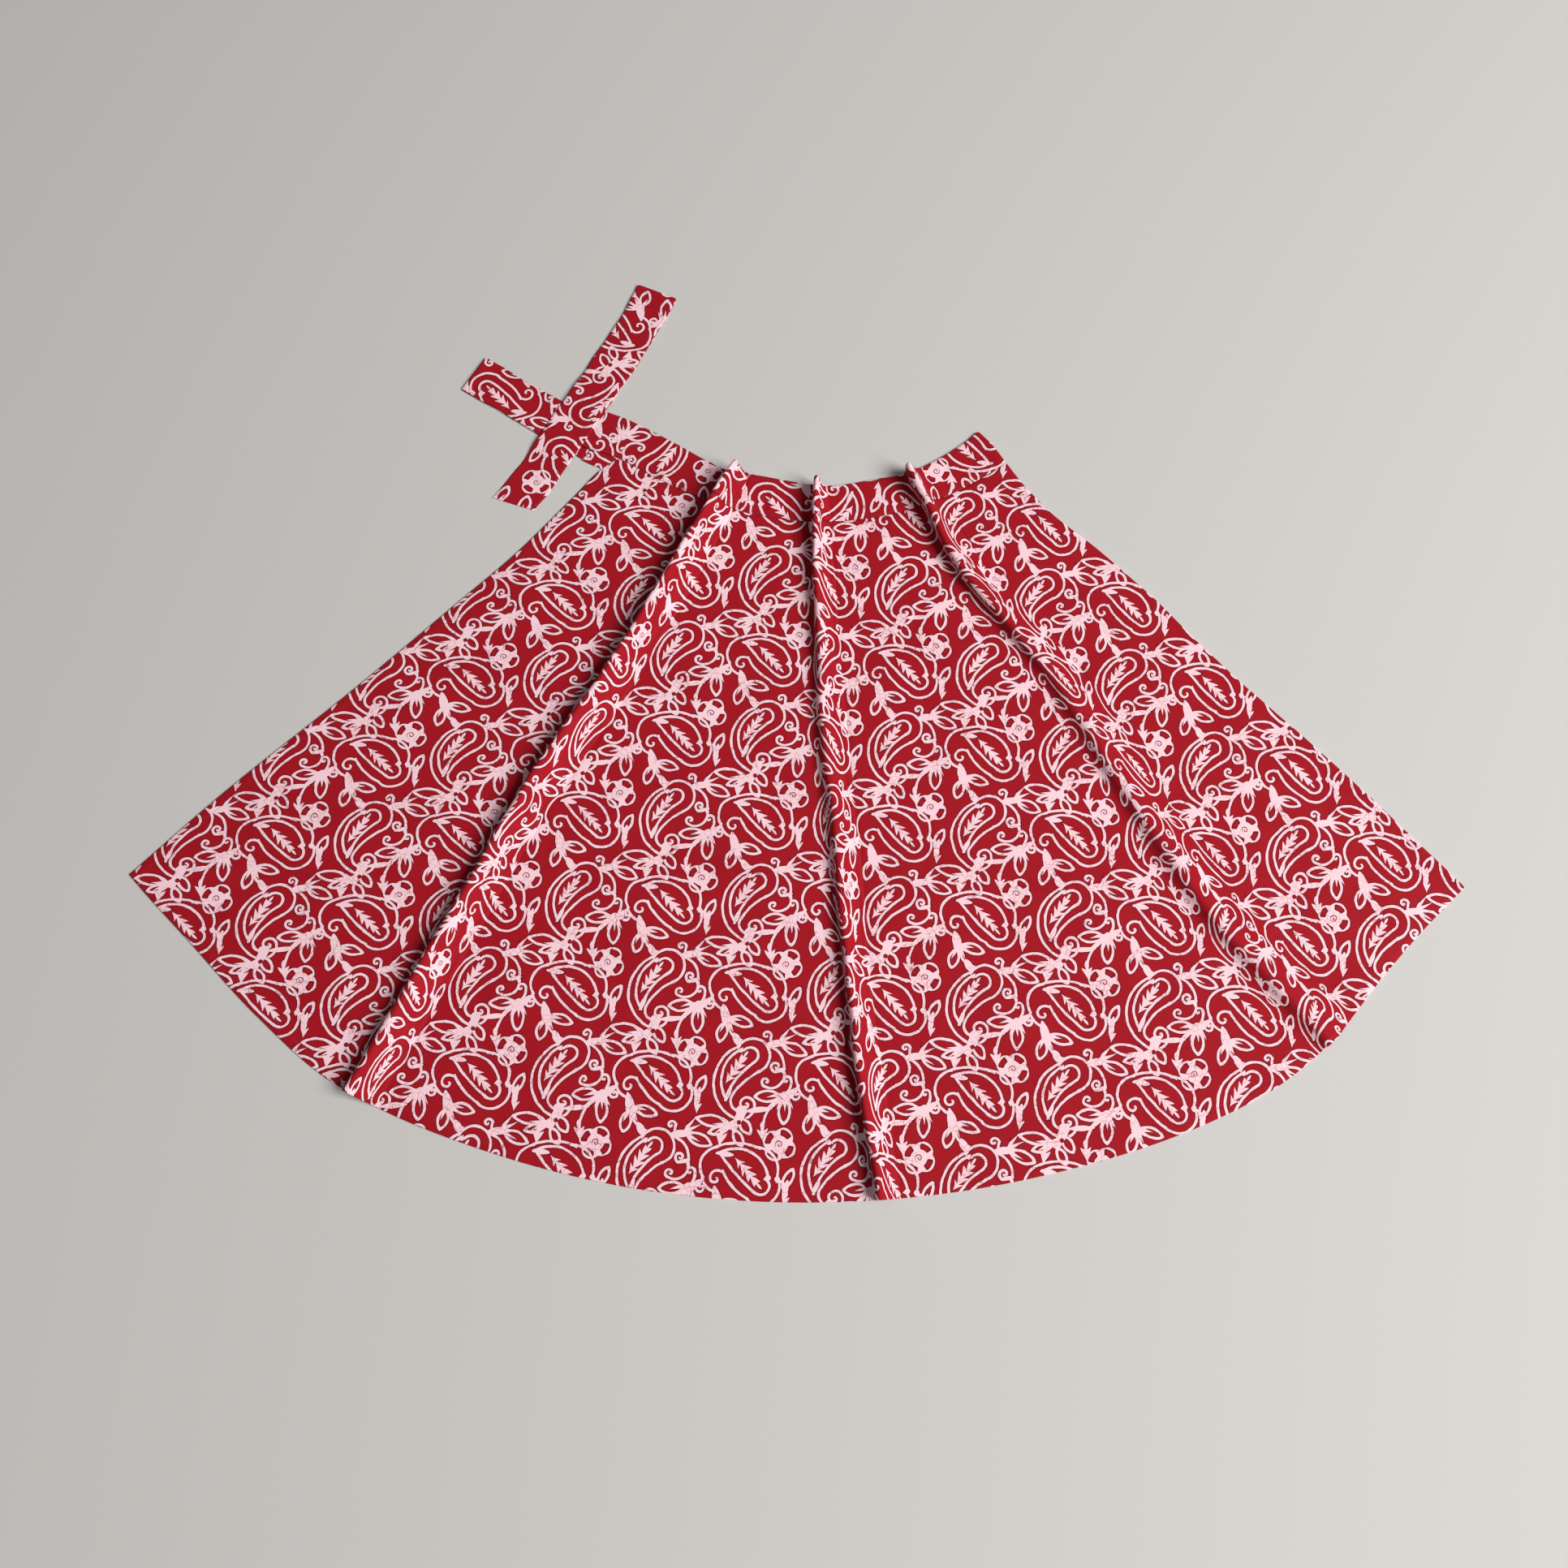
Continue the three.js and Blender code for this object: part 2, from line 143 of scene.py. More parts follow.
def maths(operation, *inputs):
    """One step of arithmetic on numbers."""
    return node("Math", inputs, operation=operation).outputs["Value"]


def vectors(operation, *inputs):
    """One step of arithmetic on places or colours."""
    made = node("VectorMath", inputs, operation=operation)
    return made.outputs["Value" if operation in ("DISTANCE", "LENGTH", "DOT_PRODUCT") else "Vector"]


def in_mm(repeats, x, y):
    """Repeats of the print turned into mm: an eighth of a turn and the repeat's side. The third
    number is 1 everywhere, so that a dot product can measure from a straight line."""
    turn = (0, 0, np.pi / 4)
    size = (REPEAT_SIDE, -REPEAT_SIDE, 1)
    return node("Mapping", (repeats, (x, y, 1), turn, size), vector_type="POINT").outputs[0]


def around(x, y):
    """Place in mm from the nearest rose, over the one repeat whose middle lies at x and y from it."""
    share = (0.5 - (x + y) / 200, 0.5 - (x - y) / 200, 0)
    return in_mm(vectors("FRACTION", vectors("ADD", hand_drawn, share)), x - 100, y)


def turned_round(place, x, y, degrees, hand=1):
    """The angle and the distance round a point, measured from a direction and towards one hand."""
    turn = (0, 0, np.radians(degrees))
    moved = node("Mapping", (place, (x, y, 1), turn, (1, hand, 1)), vector_type="TEXTURE").outputs[0]
    along, across, _ = node("SeparateXYZ", (moved,)).outputs
    return maths("ARCTAN2", across, along), vectors("LENGTH", moved)


# Each shape below gives the distance in mm from its edge, less than nothing inside it.

def dot(place, x, y, radius):
    """A filled circle: the distance from its middle less its radius."""
    return maths("SUBTRACT", vectors("DISTANCE", place, (x, y, 1)), radius)


def hoop(place, x, y, radius, start, end):
    """Middle line of a round arc between two bearings: the distance from its circle, where a disc
    over a short arc's chord, or a straight line across a long one, ends it."""
    middle = np.radians((start + end) / 2)
    half = np.radians((end - start) / 2)
    way = np.array([np.cos(middle), np.sin(middle)])
    rise = radius * np.cos(half)
    circle = maths("ABSOLUTE", dot(place, x, y, radius))
    if half < np.pi / 4:
        ended = dot(place, x + way[0] * rise, y + way[1] * rise, radius * np.sin(half))
    else:
        ended = vectors("DOT_PRODUCT", place, (-way[0], -way[1], rise + way @ (x, y)))
    return maths("MAXIMUM", circle, ended)


def vine(place, x0, y0, x1, y1, bulge):
    """An arc from one point to another, that bulges to the left of the way by a distance."""
    start = np.array([x0, y0], float)
    chord = np.array([x1, y1], float) - start
    half = np.linalg.norm(chord) / 2
    left = np.array([-chord[1], chord[0]]) / (2 * half) * np.sign(bulge)
    bulge = abs(bulge)
    radius = (half ** 2 + bulge ** 2) / (2 * bulge)
    centre = start + chord / 2 + left * (bulge - radius)
    middle = np.degrees(np.arctan2(left[1], left[0]))
    reach = np.degrees(2 * np.arctan(bulge / half))
    return hoop(place, centre[0], centre[1], radius, middle - reach, middle + reach)


def petal(place, x0, y0, x1, y1, width):
    """A pointed oval from one tip to the other: where two discs overlap."""
    start = np.array([x0, y0], float)
    chord = np.array([x1, y1], float) - start
    half = np.linalg.norm(chord) / 2
    radius = (half ** 2 + (width / 2) ** 2) / width
    aside = np.array([-chord[1], chord[0]]) / (2 * half) * (radius - width / 2)
    middle = start + chord / 2
    discs = [vectors("DISTANCE", place, (*(middle + side), 1)) for side in (aside, -aside)]
    return maths("SUBTRACT", maths("SMOOTH_MAX", *discs, 3.0), radius)


def open_petal(place, x0, y0, x1, y1, width):
    """The outline alone of a petal: the distance from its rim, on either side."""
    return maths("ABSOLUTE", petal(place, x0, y0, x1, y1, width))


def curl(place, x, y, way, radius, hand, pitch):
    """A line that starts at a point along a way and curls inwards to its right or left: the
    distance from a spiral whose arms lie one pitch apart, within its radius."""
    turn = np.radians(way - 90 * hand)
    angle, reach = turned_round(
        place, x + radius * np.cos(turn), y + radius * np.sin(turn), way - 90 * hand, hand)
    arm = maths("MULTIPLY_ADD", angle, -pitch / (2 * np.pi), reach)
    arm = maths("SUBTRACT", arm, radius - pitch / 2)
    return maths("MAXIMUM", arm, maths("PINGPONG", arm, pitch / 2))


def thorny_leaf(place, x0, y0, x1, y1, width, teeth, least):
    """A leaf with barbed sides: its half width swells to the middle of its length, times a saw
    wave that runs from the least share up to 1 once a tooth."""
    chord = np.array([x1 - x0, y1 - y0])
    length = np.linalg.norm(chord)
    turn = (0, 0, np.arctan2(chord[1], chord[0]))
    moved = node("Mapping", (place, (x0, y0, 1), turn, (1, 1, 1)), vector_type="TEXTURE").outputs[0]
    along, across, _ = node("SeparateXYZ", (moved,)).outputs
    aside = maths("ABSOLUTE", across)
    swept = maths("MULTIPLY_ADD", aside, -0.5, along)
    saw = maths("FRACT", maths("MULTIPLY", swept, teeth / length))
    share = maths("MULTIPLY_ADD", saw, 1 - least, least)
    slope = maths("MULTIPLY_ADD", along, -2 * width / length ** 2, 2 * width / length)
    return maths("SUBTRACT", aside, maths("MULTIPLY", maths("MULTIPLY", along, slope), share))


def barbs(place, x, y, way, length, count, spread, thick):
    """Barbs that spread from a point: the angle folded about each barb's middle, times the
    distance out, under a thickness that runs out to nothing at the tips."""
    angle, reach = turned_round(place, x, y, way)
    step = np.radians(spread)
    aside = maths("PINGPONG", angle if count % 2 else maths("ADD", angle, step / 2), step / 2)
    barb = maths("MULTIPLY_ADD", reach, maths("ADD", aside, thick / length), -thick)
    barb = maths("MAXIMUM", barb, maths("MULTIPLY_ADD", reach, 4, -4 * length))
    sector = maths("MULTIPLY_ADD", maths("ABSOLUTE", angle), 9, -9 * step * count / 2)
    return maths("MAXIMUM", barb, sector)


def rose(place, x, y, way):
    """A scalloped disc, whose radius waves four times round, less four rounded gaps in a ring and
    a small spiral eye."""
    angle, reach = turned_round(place, x, y, way)
    wave = maths("ABSOLUTE", maths("COSINE", maths("MULTIPLY", angle, 2)))
    disc = maths("SUBTRACT", maths("MULTIPLY_ADD", wave, -4.2, reach), 14.9)
    aside = maths("PINGPONG", angle, np.pi / 4)
    gap_reach = maths("ABSOLUTE", maths("MULTIPLY_ADD", reach, 1 / 3.2, -12.9 / 3.2))
    gap_aside = maths("MULTIPLY", aside, 12.9 / 5.4)
    gap = maths("MULTIPLY_ADD", maths("SMOOTH_MAX", gap_reach, gap_aside, 0.8), -3.2, 3.5)
    eye = maths("PINGPONG", maths("MULTIPLY_ADD", angle, -3.2 / (2 * np.pi), reach), 1.6)
    eye = maths("SUBTRACT", 0.55, maths("MAXIMUM", eye, maths("SUBTRACT", reach, 3.9)))
    return maths("MAXIMUM", maths("MAXIMUM", disc, gap), eye)


SPRAY_MIDDLE = (45, -72)
EYELET = (53, -75.5, 2.6)  # a red hole left in the spray: place and radius

# The print by its motifs, drawn in mm from a rose: the middle of the repeat that holds the motif,
# its lines, and its filled shapes.
MOTIFS = (
    # the rose
    (0, 0, (), ((rose, -2, 1, 60),)),
    # the tall paisley, with the tendril and the buds on its right
    (62, -15, (
        (vine, 46, -70, 50, 9, 25), (hoop, 65, -2, 19, -70, 150), (vine, 72, -20, 44, -47, -3),
        (vine, 44, -47, 49, -62, -3.5), (vine, 38, -50, 52, 5, 13), (hoop, 62, -2, 9, -60, 135),
        (vine, 67, -9.5, 38, -50, -5), (curl, 68.5, -54, 100, 9, -1, 7), (vine, 68.5, -54, 62, -70, 3),
        (vine, 82, 9, 99, -20, 7), (vine, 100, -20, 80, -36, 8), (curl, 80, -36, 175, 5.7, 1, 5),
        (curl, 91, -19.5, 180, 6.3, 1, 5), (open_petal, 97, 11, 124, 0, 12),
        (curl, 84.5, 21, 92, 5.3, -1, 5), (vine, 84, 12, 84.5, 21, 0.5)), (
        (petal, 42, 24, 51, 8, 8), (dot, 52, 4, 2.6), (petal, 36, -54, 44, -34, 5),
        (thorny_leaf, 36, -33, 60, 3, 15, 5, 0.15), (petal, 86, -20, 103, -16, 4.5),
        (petal, 78, 11, 104, 13, 8), (barbs, 92, 13, 12, 22, 4, 26, 3.2))),
    # the wide paisley, with the upright bud by its foot
    (-35, -32, (
        (hoop, -27, -27, 25, -22, 92), (hoop, -48, -60, 62, 66, 110), (hoop, -66, -23, 21, 98, 215),
        (hoop, -20, -44, 20, -138, 24), (vine, -35, -57, -62, -28, 3),
        (curl, -62, -29, 135, 10, -1, 9.5), (vine, -84, -35, -70, -50, -3), (vine, -68, -9, -13, -32, 15),
        (hoop, -20, -44, 9, -135, 62), (vine, -26, -51, -66, -9, 2),
        (open_petal, 4, -46, 14, -25, 9), (vine, -2, -38, 6, -44, 2)), (
        (petal, -71, -8, -50, -11, 6), (dot, -13, -35, 3), (dot, -3, -36, 3),
        (thorny_leaf, -50, -13, -19, -47, 14, 5, 0.15), (petal, 4, -58, 9, -36, 6),
        (thorny_leaf, 6, -66, 8, -48, 9, 2, 0.15))),
    # the sprig, and the tulip beside it
    (12, 42, (
        (open_petal, -3, 54, -31, 53, 12), (open_petal, 2, 50, 2, 23, 12),
        (curl, 8, 71, 85, 5.3, -1, 5), (vine, 6, 60, 8, 71, -1), (curl, 9.8, 54, -85, 5.3, -1, 5),
        (vine, -3, 52, -20, 8, -7), (open_petal, 32, 35, 27, 13, 11),
        (open_petal, 38, 40, 63, 32, 10.5), (vine, 36, 32, 51, 15, -3)), (
        (dot, 2, 54, 5), (petal, -5, 46, 18, 64, 8), (barbs, 1, 57, -112, 20, 5, 27, 3.6),
        (thorny_leaf, -20, 4, -22, 26, 13, 2, 0.15), (petal, -20, 36, 0, 54, 5),
        (petal, 29, 57, 37, 26, 10), (dot, 34, 38, 5.5), (barbs, 34, 40, -62, 18, 5, 26, 3.6))),
    # the spray of leaves under the tall paisley
    (*SPRAY_MIDDLE, (
        (open_petal, 42, -77, 6, -71, 12), (open_petal, 42, -82, 20, -87, 8),
        (open_petal, 48, -84, 58, -101, 9), (open_petal, 54, -71, 66, -88, 10)), (
        (dot, 55, -63, 6), (dot, 47, -79, 5.5), (petal, 46, -84, 60, -56, 10),
        (barbs, 44, -78, 178, 20, 3, 30, 3.6), (petal, 58, -63, 90, -60, 6),
        (thorny_leaf, 33, -102, 36, -78, 13, 2, 0.15))))


def nearest(distance, place, shapes):
    """The least of a distance and the distances from a list of shapes."""
    for shape, *numbers in shapes:
        found = shape(place, *numbers)
        distance = maths("MINIMUM", distance, found) if distance is not None else found
    return distance


def noise(scale, detail, **settings):
    """Soft noise over the cloth, from 0 to 1, with its scale in waves a mm."""
    return node("TexNoise", (on_cloth, None, scale, detail), **settings)


cloth_place = node("UVMap", (), uv_map="cloth").outputs["UV"]
on_cloth = in_mm(cloth_place, 0, 0)
hand_wobble = vectors("SUBTRACT", noise(1 / 14, 2).outputs["Color"], (0.5, 0.5, 0.5))
hand_drawn = vectors("MULTIPLY_ADD", hand_wobble, (0.016, 0.016, 0), cloth_place)

line_distance = None
fill_distance = None
for middle_x, middle_y, drawn_lines, filled_shapes in MOTIFS:
    motif_place = around(middle_x, middle_y)
    line_distance = nearest(line_distance, motif_place, drawn_lines)
    fill_distance = nearest(fill_distance, motif_place, filled_shapes)
line_width = maths("MULTIPLY_ADD", noise(1 / 9, 1).outputs["Fac"], -0.9, 0.45 - HALF_LINE)
print_distance = maths("MINIMUM", maths("ADD", line_distance, line_width), fill_distance)
eyelet = dot(around(*SPRAY_MIDDLE), *EYELET)
print_distance = maths("MAXIMUM", print_distance, maths("MULTIPLY", eyelet, -1))


def between(value, low, high):
    """1 at the low end of a value's range and 0 at the high end, with a soft slope between."""
    ranged = node("MapRange", (value, low, high, 1, 0), interpolation_type="SMOOTHSTEP")
    return ranged.outputs["Result"]


def mixed(share, under, over):
    """The colour under another, mixed with it by a share."""
    colours = (share, None, None, None, None, None, under, over)
    return node("Mix", colours, data_type="RGBA").outputs[2]


white_share = between(print_distance, -0.2, 0.25)
edge_share = between(maths("ABSOLUTE", maths("SUBTRACT", print_distance, 0.6)), 0.25, 0.65)
cloudy = noise(1 / 45, 3).outputs["Fac"]
cracks = node("TexVoronoi", (on_cloth, None, 1 / 6), feature="DISTANCE_TO_EDGE").outputs["Distance"]
crack_share = maths("MULTIPLY", between(cracks, 0.012, 0.045), between(cloudy, 0.56, 0.42))
dye = mixed(maths("MULTIPLY", edge_share, 0.9), RED, DARK_RED)
dye = mixed(maths("MULTIPLY", maths("SUBTRACT", cloudy, 0.35), 0.35), dye, DARK_RED)
wax_white = mixed(maths("MULTIPLY", crack_share, 0.65), RESIST_WHITE, RED)
cloth_colour = mixed(white_share, dye, wax_white)

cotton_shader = cotton_nodes["Principled BSDF"]
cotton_shader.inputs["Specular IOR Level"].default_value = 0.15
cotton_shader.inputs["Sheen Weight"].default_value = 0.04
cotton_shader.inputs["Sheen Roughness"].default_value = 0.45
cotton_links.new(cloth_colour, cotton_shader.inputs["Base Color"])
cotton_links.new(maths("MULTIPLY_ADD", cloudy, 0.2, 0.65), cotton_shader.inputs["Roughness"])


def threads(across, along):
    """Uneven threads: noise drawn out along their run, in waves a mm across and along it."""
    drawn_out = node("Mapping", (on_cloth, None, None, (across, along, 1)), vector_type="POINT")
    return node("TexNoise", (drawn_out.outputs[0], None, 1, 1)).outputs["Fac"]


THREAD_RELIEF = 0.00015  # m
weave = maths("ADD", threads(1.7, 0.12), threads(0.12, 1.7))
weave_bump = node("Bump", (0.6, THREAD_RELIEF, None, weave)).outputs["Normal"]
cotton_links.new(weave_bump, cotton_shader.inputs["Normal"])


# ---- the half underneath ----
# The skirt is one flared panel of thin printed cotton, cut about a point beyond the waist and folded
# in half. This half lies face down on the surface and only its rim shows, a little inside the other.

APEX = np.array([17.937, 554.638])  # mm, the point that the flare runs out from
GAP = 0.3  # mm between neighbouring pieces
LAYER = 1.5  # mm taken by one layer of cloth with its air
CLOTH = 0.8  # mm, the cloth itself
BACK_MIDDLE = LAYER / 2
FRONT_MIDDLE = BACK_MIDDLE + LAYER + GAP
HIDDEN_INSET = 4
TURN_END = 4.2

# Outlines as bearing from the skirt's own middle line, in degrees, and radius from the apex, in mm.
HEM = np.array([
    (-46, 1084), (-40, 1089), (-34, 1105), (-28, 1121), (-18, 1120), (0, 1116),
    (12, 1116), (26, 1118), (31, 1106), (36, 1082), (40, 1071), (45, 1069)])
BACK_SEAM = np.array([
    (-53, 376), (-46, 358), (-36, 336), (-24, 325), (-12, 324), (4, 327), (24, 333), (46, 345)])

# Side edges as radius and bearing.
OPEN_EDGE = np.array([
    (330, -45.0), (360, -45.6), (404, -45.1), (500, -44.5),
    (600, -44.8), (750, -45.2), (930, -45.8), (1085, -45.8)])
FOLDED_EDGE = np.array([
    (265, 46.4), (310, 45.7), (370, 43.9), (425, 43.5), (500, 44.2),
    (590, 44.3), (690, 43.9), (880, 44.1), (1070, 43.9)])
OPEN_EDGE_BEARING = -45
FOLDED_EDGE_BEARING = 44


def read(table, at, column=1):
    """Smooth curve through one column of a table against its first: a cubic between each two rows,
    whose slope at a row is the slope between that row's neighbours."""
    keys = table[:, 0]
    values = table[:, column]
    slopes = np.empty(len(keys))
    slopes[1:-1] = (values[2:] - values[:-2]) / (keys[2:] - keys[:-2])
    slopes[0] = (values[1] - values[0]) / (keys[1] - keys[0])
    slopes[-1] = (values[-1] - values[-2]) / (keys[-1] - keys[-2])
    row = np.clip(np.searchsorted(keys, at, side="right") - 1, 0, len(keys) - 2)
    span = keys[row + 1] - keys[row]
    t = np.clip((at - keys[row]) / span, 0, 1)
    ends = (1 + 2 * t) * (1 - t) ** 2 * values[row] + t ** 2 * (3 - 2 * t) * values[row + 1]
    return ends + span * (t * (1 - t) ** 2 * slopes[row] + t ** 2 * (t - 1) * slopes[row + 1])


def moved_out(outline, distance):
    """The same outline with every radius larger by the distance."""
    return outline + np.array([0, distance])


class Cut:
    """A piece cut between an inner and an outer outline, as rows at shares of the way between them.

    Each row's section is laid out along a round arc of the radius that the row has at bearing 0, so
    that a place on the row is a length of arc and a height."""

    def __init__(self, inner, outer, shares):
        """Keeps the outlines and shares, and each row's radius at bearing 0."""
        self.inner = inner
        self.outer = outer
        self.shares = np.asarray(shares)[:, None]
        self.nominal = self.radius_at(np.zeros((1, 1)))

    def radius_at(self, bearing):
        """Radius of every row at a bearing: the mean of both outlines, weighted by the row's share."""
        within = read(self.inner, bearing) * (1 - self.shares)
        return within + read(self.outer, bearing) * self.shares

    def on_arc(self, bearing, aside=0.0):
        """The length of arc at a bearing and at a distance aside from it."""
        return (np.radians(bearing) + aside / self.radius_at(bearing)) * self.nominal

    def bearing_of(self, arc):
        """The bearing at a length of arc: the arc over the row's radius at bearing 0."""
        return np.degrees(arc / self.nominal)

    def place(self, arc, height):
        """Points in mm: the bearing is the arc over the row's radius, turned about the apex."""
        bearing = self.bearing_of(arc)
        radius = self.radius_at(bearing)
        angle = np.radians(bearing)
        x = APEX[0] + radius * np.sin(angle)
        y = APEX[1] - radius * np.cos(angle)
        return np.stack([x, y, np.broadcast_to(height, x.shape)], axis=-1)

    def open_edge(self):
        """The open edge's bearing on every row, read at the row's radius there."""
        return read(OPEN_EDGE, self.radius_at(OPEN_EDGE_BEARING))

    def folded_edge(self):
        """The folded edge's bearing on every row, read at the row's radius there."""
        return read(FOLDED_EDGE, self.radius_at(FOLDED_EDGE_BEARING))


def spaced(start, stop, count):
    """Even steps between two columns of numbers, the first and the last left out."""
    share = np.linspace(0, 1, count + 2)[1:-1]
    return start + (stop - start) * share


def graded(length, near_start, near_stop, count):
    """Shares from 0 to 1 of a length: given steps in from both of its ends, and even between."""
    start = np.asarray(near_start, float)
    stop = length - np.asarray(near_stop, float)[::-1]
    middle = np.linspace(start[-1], stop[0], count + 2)[1:-1]
    return np.concatenate([start, middle, stop]) / length


def unit_normals(points):
    """Unit normals of a grid of points: the cross product of its two directions of run."""
    normal = np.cross(np.gradient(points, axis=0), np.gradient(points, axis=1))
    return normal / np.linalg.norm(normal, axis=2, keepdims=True)


def rim_path(rows, columns, step):
    """Row and column numbers round the edge of a grid, once round against the clock from above."""
    down = np.arange(0, rows - 1, step)
    across = np.arange(0, columns - 1, step)
    row = np.concatenate([down, np.full(across.shape, rows - 1), rows - 1 - down, 0 * across])
    column = np.concatenate([0 * down, across, np.full(down.shape, columns - 1), columns - 1 - across])
    return row * columns + column


def cloth_piece(name, outer, print_uv, bake_uv, thickness=CLOTH):
    """A closed shell of cloth from the grid of its outer face, in mm.

    The inner face lies one thickness inside along the normals, on every second row and column, and
    five-sided faces close the rim. print_uv is the place on the printed cloth, and bake_uv lays the
    outer and then the inner face out flat, side by side, for a texture."""
    inner = (outer - thickness * unit_normals(outer))[::2, ::2]
    rows, columns = outer.shape[:2]
    inner_rows, inner_columns = inner.shape[:2]
    points = np.concatenate([outer.reshape(-1, 3), inner.reshape(-1, 3)]) * MM
    top = np.arange(rows * columns).reshape(rows, columns)
    under = top.size + np.arange(inner_rows * inner_columns).reshape(inner_rows, inner_columns)
    top_faces = np.stack([top[:-1, :-1], top[1:, :-1], top[1:, 1:], top[:-1, 1:]], -1).reshape(-1, 4)
    under_faces = np.stack(
        [under[:-1, :-1], under[:-1, 1:], under[1:, 1:], under[1:, :-1]], -1).reshape(-1, 4)
    round_top = rim_path(rows, columns, 1)
    round_under = rim_path(inner_rows, inner_columns, 1) + top.size
    next_under = np.roll(round_under, -1)
    rim_faces = np.stack(
        [np.roll(round_top, -2)[::2], np.roll(round_top, -1)[::2], round_top[::2],
         round_under, next_under], -1)

    corners = np.concatenate([top_faces.ravel(), under_faces.ravel(), rim_faces.ravel()])
    sides = np.concatenate([np.full(len(top_faces) + len(under_faces), 4), np.full(len(rim_faces), 5)])
    mesh = bpy.data.meshes.new(name)
    mesh.vertices.add(len(points))
    mesh.vertices.foreach_set("co", points.ravel())
    mesh.loops.add(len(corners))
    mesh.loops.foreach_set("vertex_index", corners.astype(np.int32))
    mesh.polygons.add(len(sides))
    starts = np.concatenate([[0], np.cumsum(sides)[:-1]])
    mesh.polygons.foreach_set("loop_start", starts.astype(np.int32))
    mesh.polygons.foreach_set("loop_total", sides.astype(np.int32))
    mesh.update(calc_edges=True)
    mesh.shade_smooth()

    on_cloth = np.concatenate([print_uv.reshape(-1, 2), print_uv[::2, ::2].reshape(-1, 2)])
    mesh.uv_layers.new(name="cloth").data.foreach_set("uv", on_cloth[corners].ravel())
    low = bake_uv.reshape(-1, 2).min(axis=0)
    size = np.ptp(bake_uv.reshape(-1, 2), axis=0)
    flat = (bake_uv - low) / size.max() * BAKE_SHARE + BAKE_MARGIN
    flat_inner = flat[::2, ::2] * UNDER_SCALE
    along = int(size[1] > size[0])
    flat_inner[..., 1 - along] += flat[..., 1 - along].max() + BAKE_MARGIN
    laid_out = np.concatenate([flat.reshape(-1, 2), flat_inner.reshape(-1, 2)])[corners]
    rim_start = 4 * (len(top_faces) + len(under_faces))
    rim_corners = laid_out[rim_start:].reshape(-1, 5, 2)
    rim_corners[:, 3] = rim_corners[:, 2]
    rim_corners[:, 4] = rim_corners[:, 0]
    mesh.uv_layers.new(name="OFBake").data.foreach_set("uv", laid_out.ravel())
    mesh.uv_layers["cloth"].active = True

    return in_scene(name, mesh)


BAKE_SHARE = 0.98
BAKE_MARGIN = 0.005
UNDER_SCALE = 0.7


def lattice(place, rose, rise, fall, repeats=(0, 0)):
    """Place on the printed cloth: how many repeats of the print lie between a rose and the place,
    along its rising and along its falling direction, and the repeats that lie before that rose."""
    steps = np.linalg.inv(np.array([rise, fall]).T)
    return (place[..., :2] - np.array(rose)) @ steps.T + np.array(repeats)


def laid_flat(cut, arc):
    """The cut laid out flat: the arc as an angle, at the row's radius."""
    angle = arc / cut.nominal
    radius = cut.radius_at(cut.bearing_of(arc))
    return np.stack([radius * np.sin(angle), -radius * np.cos(angle)], axis=-1)


def finish_piece(piece, node):
    """Gives a piece the printed cotton, and puts it in the place of its solid."""
    piece.data.materials.append(printed_cotton)
    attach(piece, "root")
    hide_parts(node)


def back_half(name, inner, outer, shares, left_bearing, thickness, rose, rise, fall):
    """A flat piece of the half underneath, from its left edge to where the folded edge turns."""
    cut = Cut(inner, outer, shares)
    left = cut.on_arc(left_bearing(cut))
    right = cut.on_arc(cut.folded_edge(), -TURN_END - GAP)
    arc = left + (right - left) * np.linspace(0, 1, BACK_COLUMNS)
    points = cut.place(arc, UNDERSIDE + thickness)
    on_print = lattice(points, rose, rise, fall)
    return cloth_piece(name, points, on_print, laid_flat(cut, arc), thickness)


BACK_COLUMNS = 241
UNDERSIDE = 0.1  # mm, the cloth's underside over the surface
SEAM_STEPS = (0, 1, 2.5, 5, 9)
HEM_STEPS = (0, 1, 3, 6, 8.5, 10, 11, 12, 13.5, 16)


def hidden_edge(cut):
    """The bearing of the open edge, moved in by the inset that keeps it out of sight."""
    return cut.open_edge() + np.degrees(HIDDEN_INSET / cut.radius_at(OPEN_EDGE_BEARING))


skirt_back = back_half(
    "skirt_back_cloth", moved_out(BACK_SEAM, GAP), moved_out(HEM, -HIDDEN_INSET),
    graded(780, SEAM_STEPS, HEM_STEPS, 90), hidden_edge, CLOTH, (-60, 40), (-104, 98), (-95, -99))
finish_piece(skirt_back, "skirt_back")


# ---- the half on top ----
# The same panel, folded back over the other half along its right side. Three soft folds stand up
# from the waist to the hem, each leaning a little to the left, and the cut edges are turned hems.

FRONT_SEAM = np.array([
    (-58, 376), (-52, 356), (-45, 333), (-35, 322), (-24, 318), (-12, 318),
    (0, 320), (12, 323), (24, 328), (36, 334), (46, 341)])

# Each fold by its crest: radius, bearing, width between its feet, height, lean to the left of them,
# and how softly it is rounded.
LEFT_FOLD = np.array([
    (265, -19.6, 23, 31, 1, 0.0), (320, -21.4, 31, 31, 3, 0.0), (420, -23.3, 38, 28, 6, 0.2),
    (560, -24.8, 43, 26, 5, 0.35), (730, -26.5, 46, 24, 4, 0.5), (900, -26.7, 48, 23, 3, 0.6),
    (1120, -27.0, 50, 22, 3, 0.6)])
MIDDLE_FOLD = np.array([
    (265, 1.4, 20, 28, 0, 0.0), (320, 1.0, 26, 24, 1, 0.1), (420, 0.9, 34, 18, 2, 0.5),
    (560, 1.1, 44, 13, 1, 1.0), (730, 2.1, 42, 14, 1, 0.9), (900, 2.6, 37, 18, 2, 0.6),
    (1120, 3.6, 36, 21, 2, 0.4)])
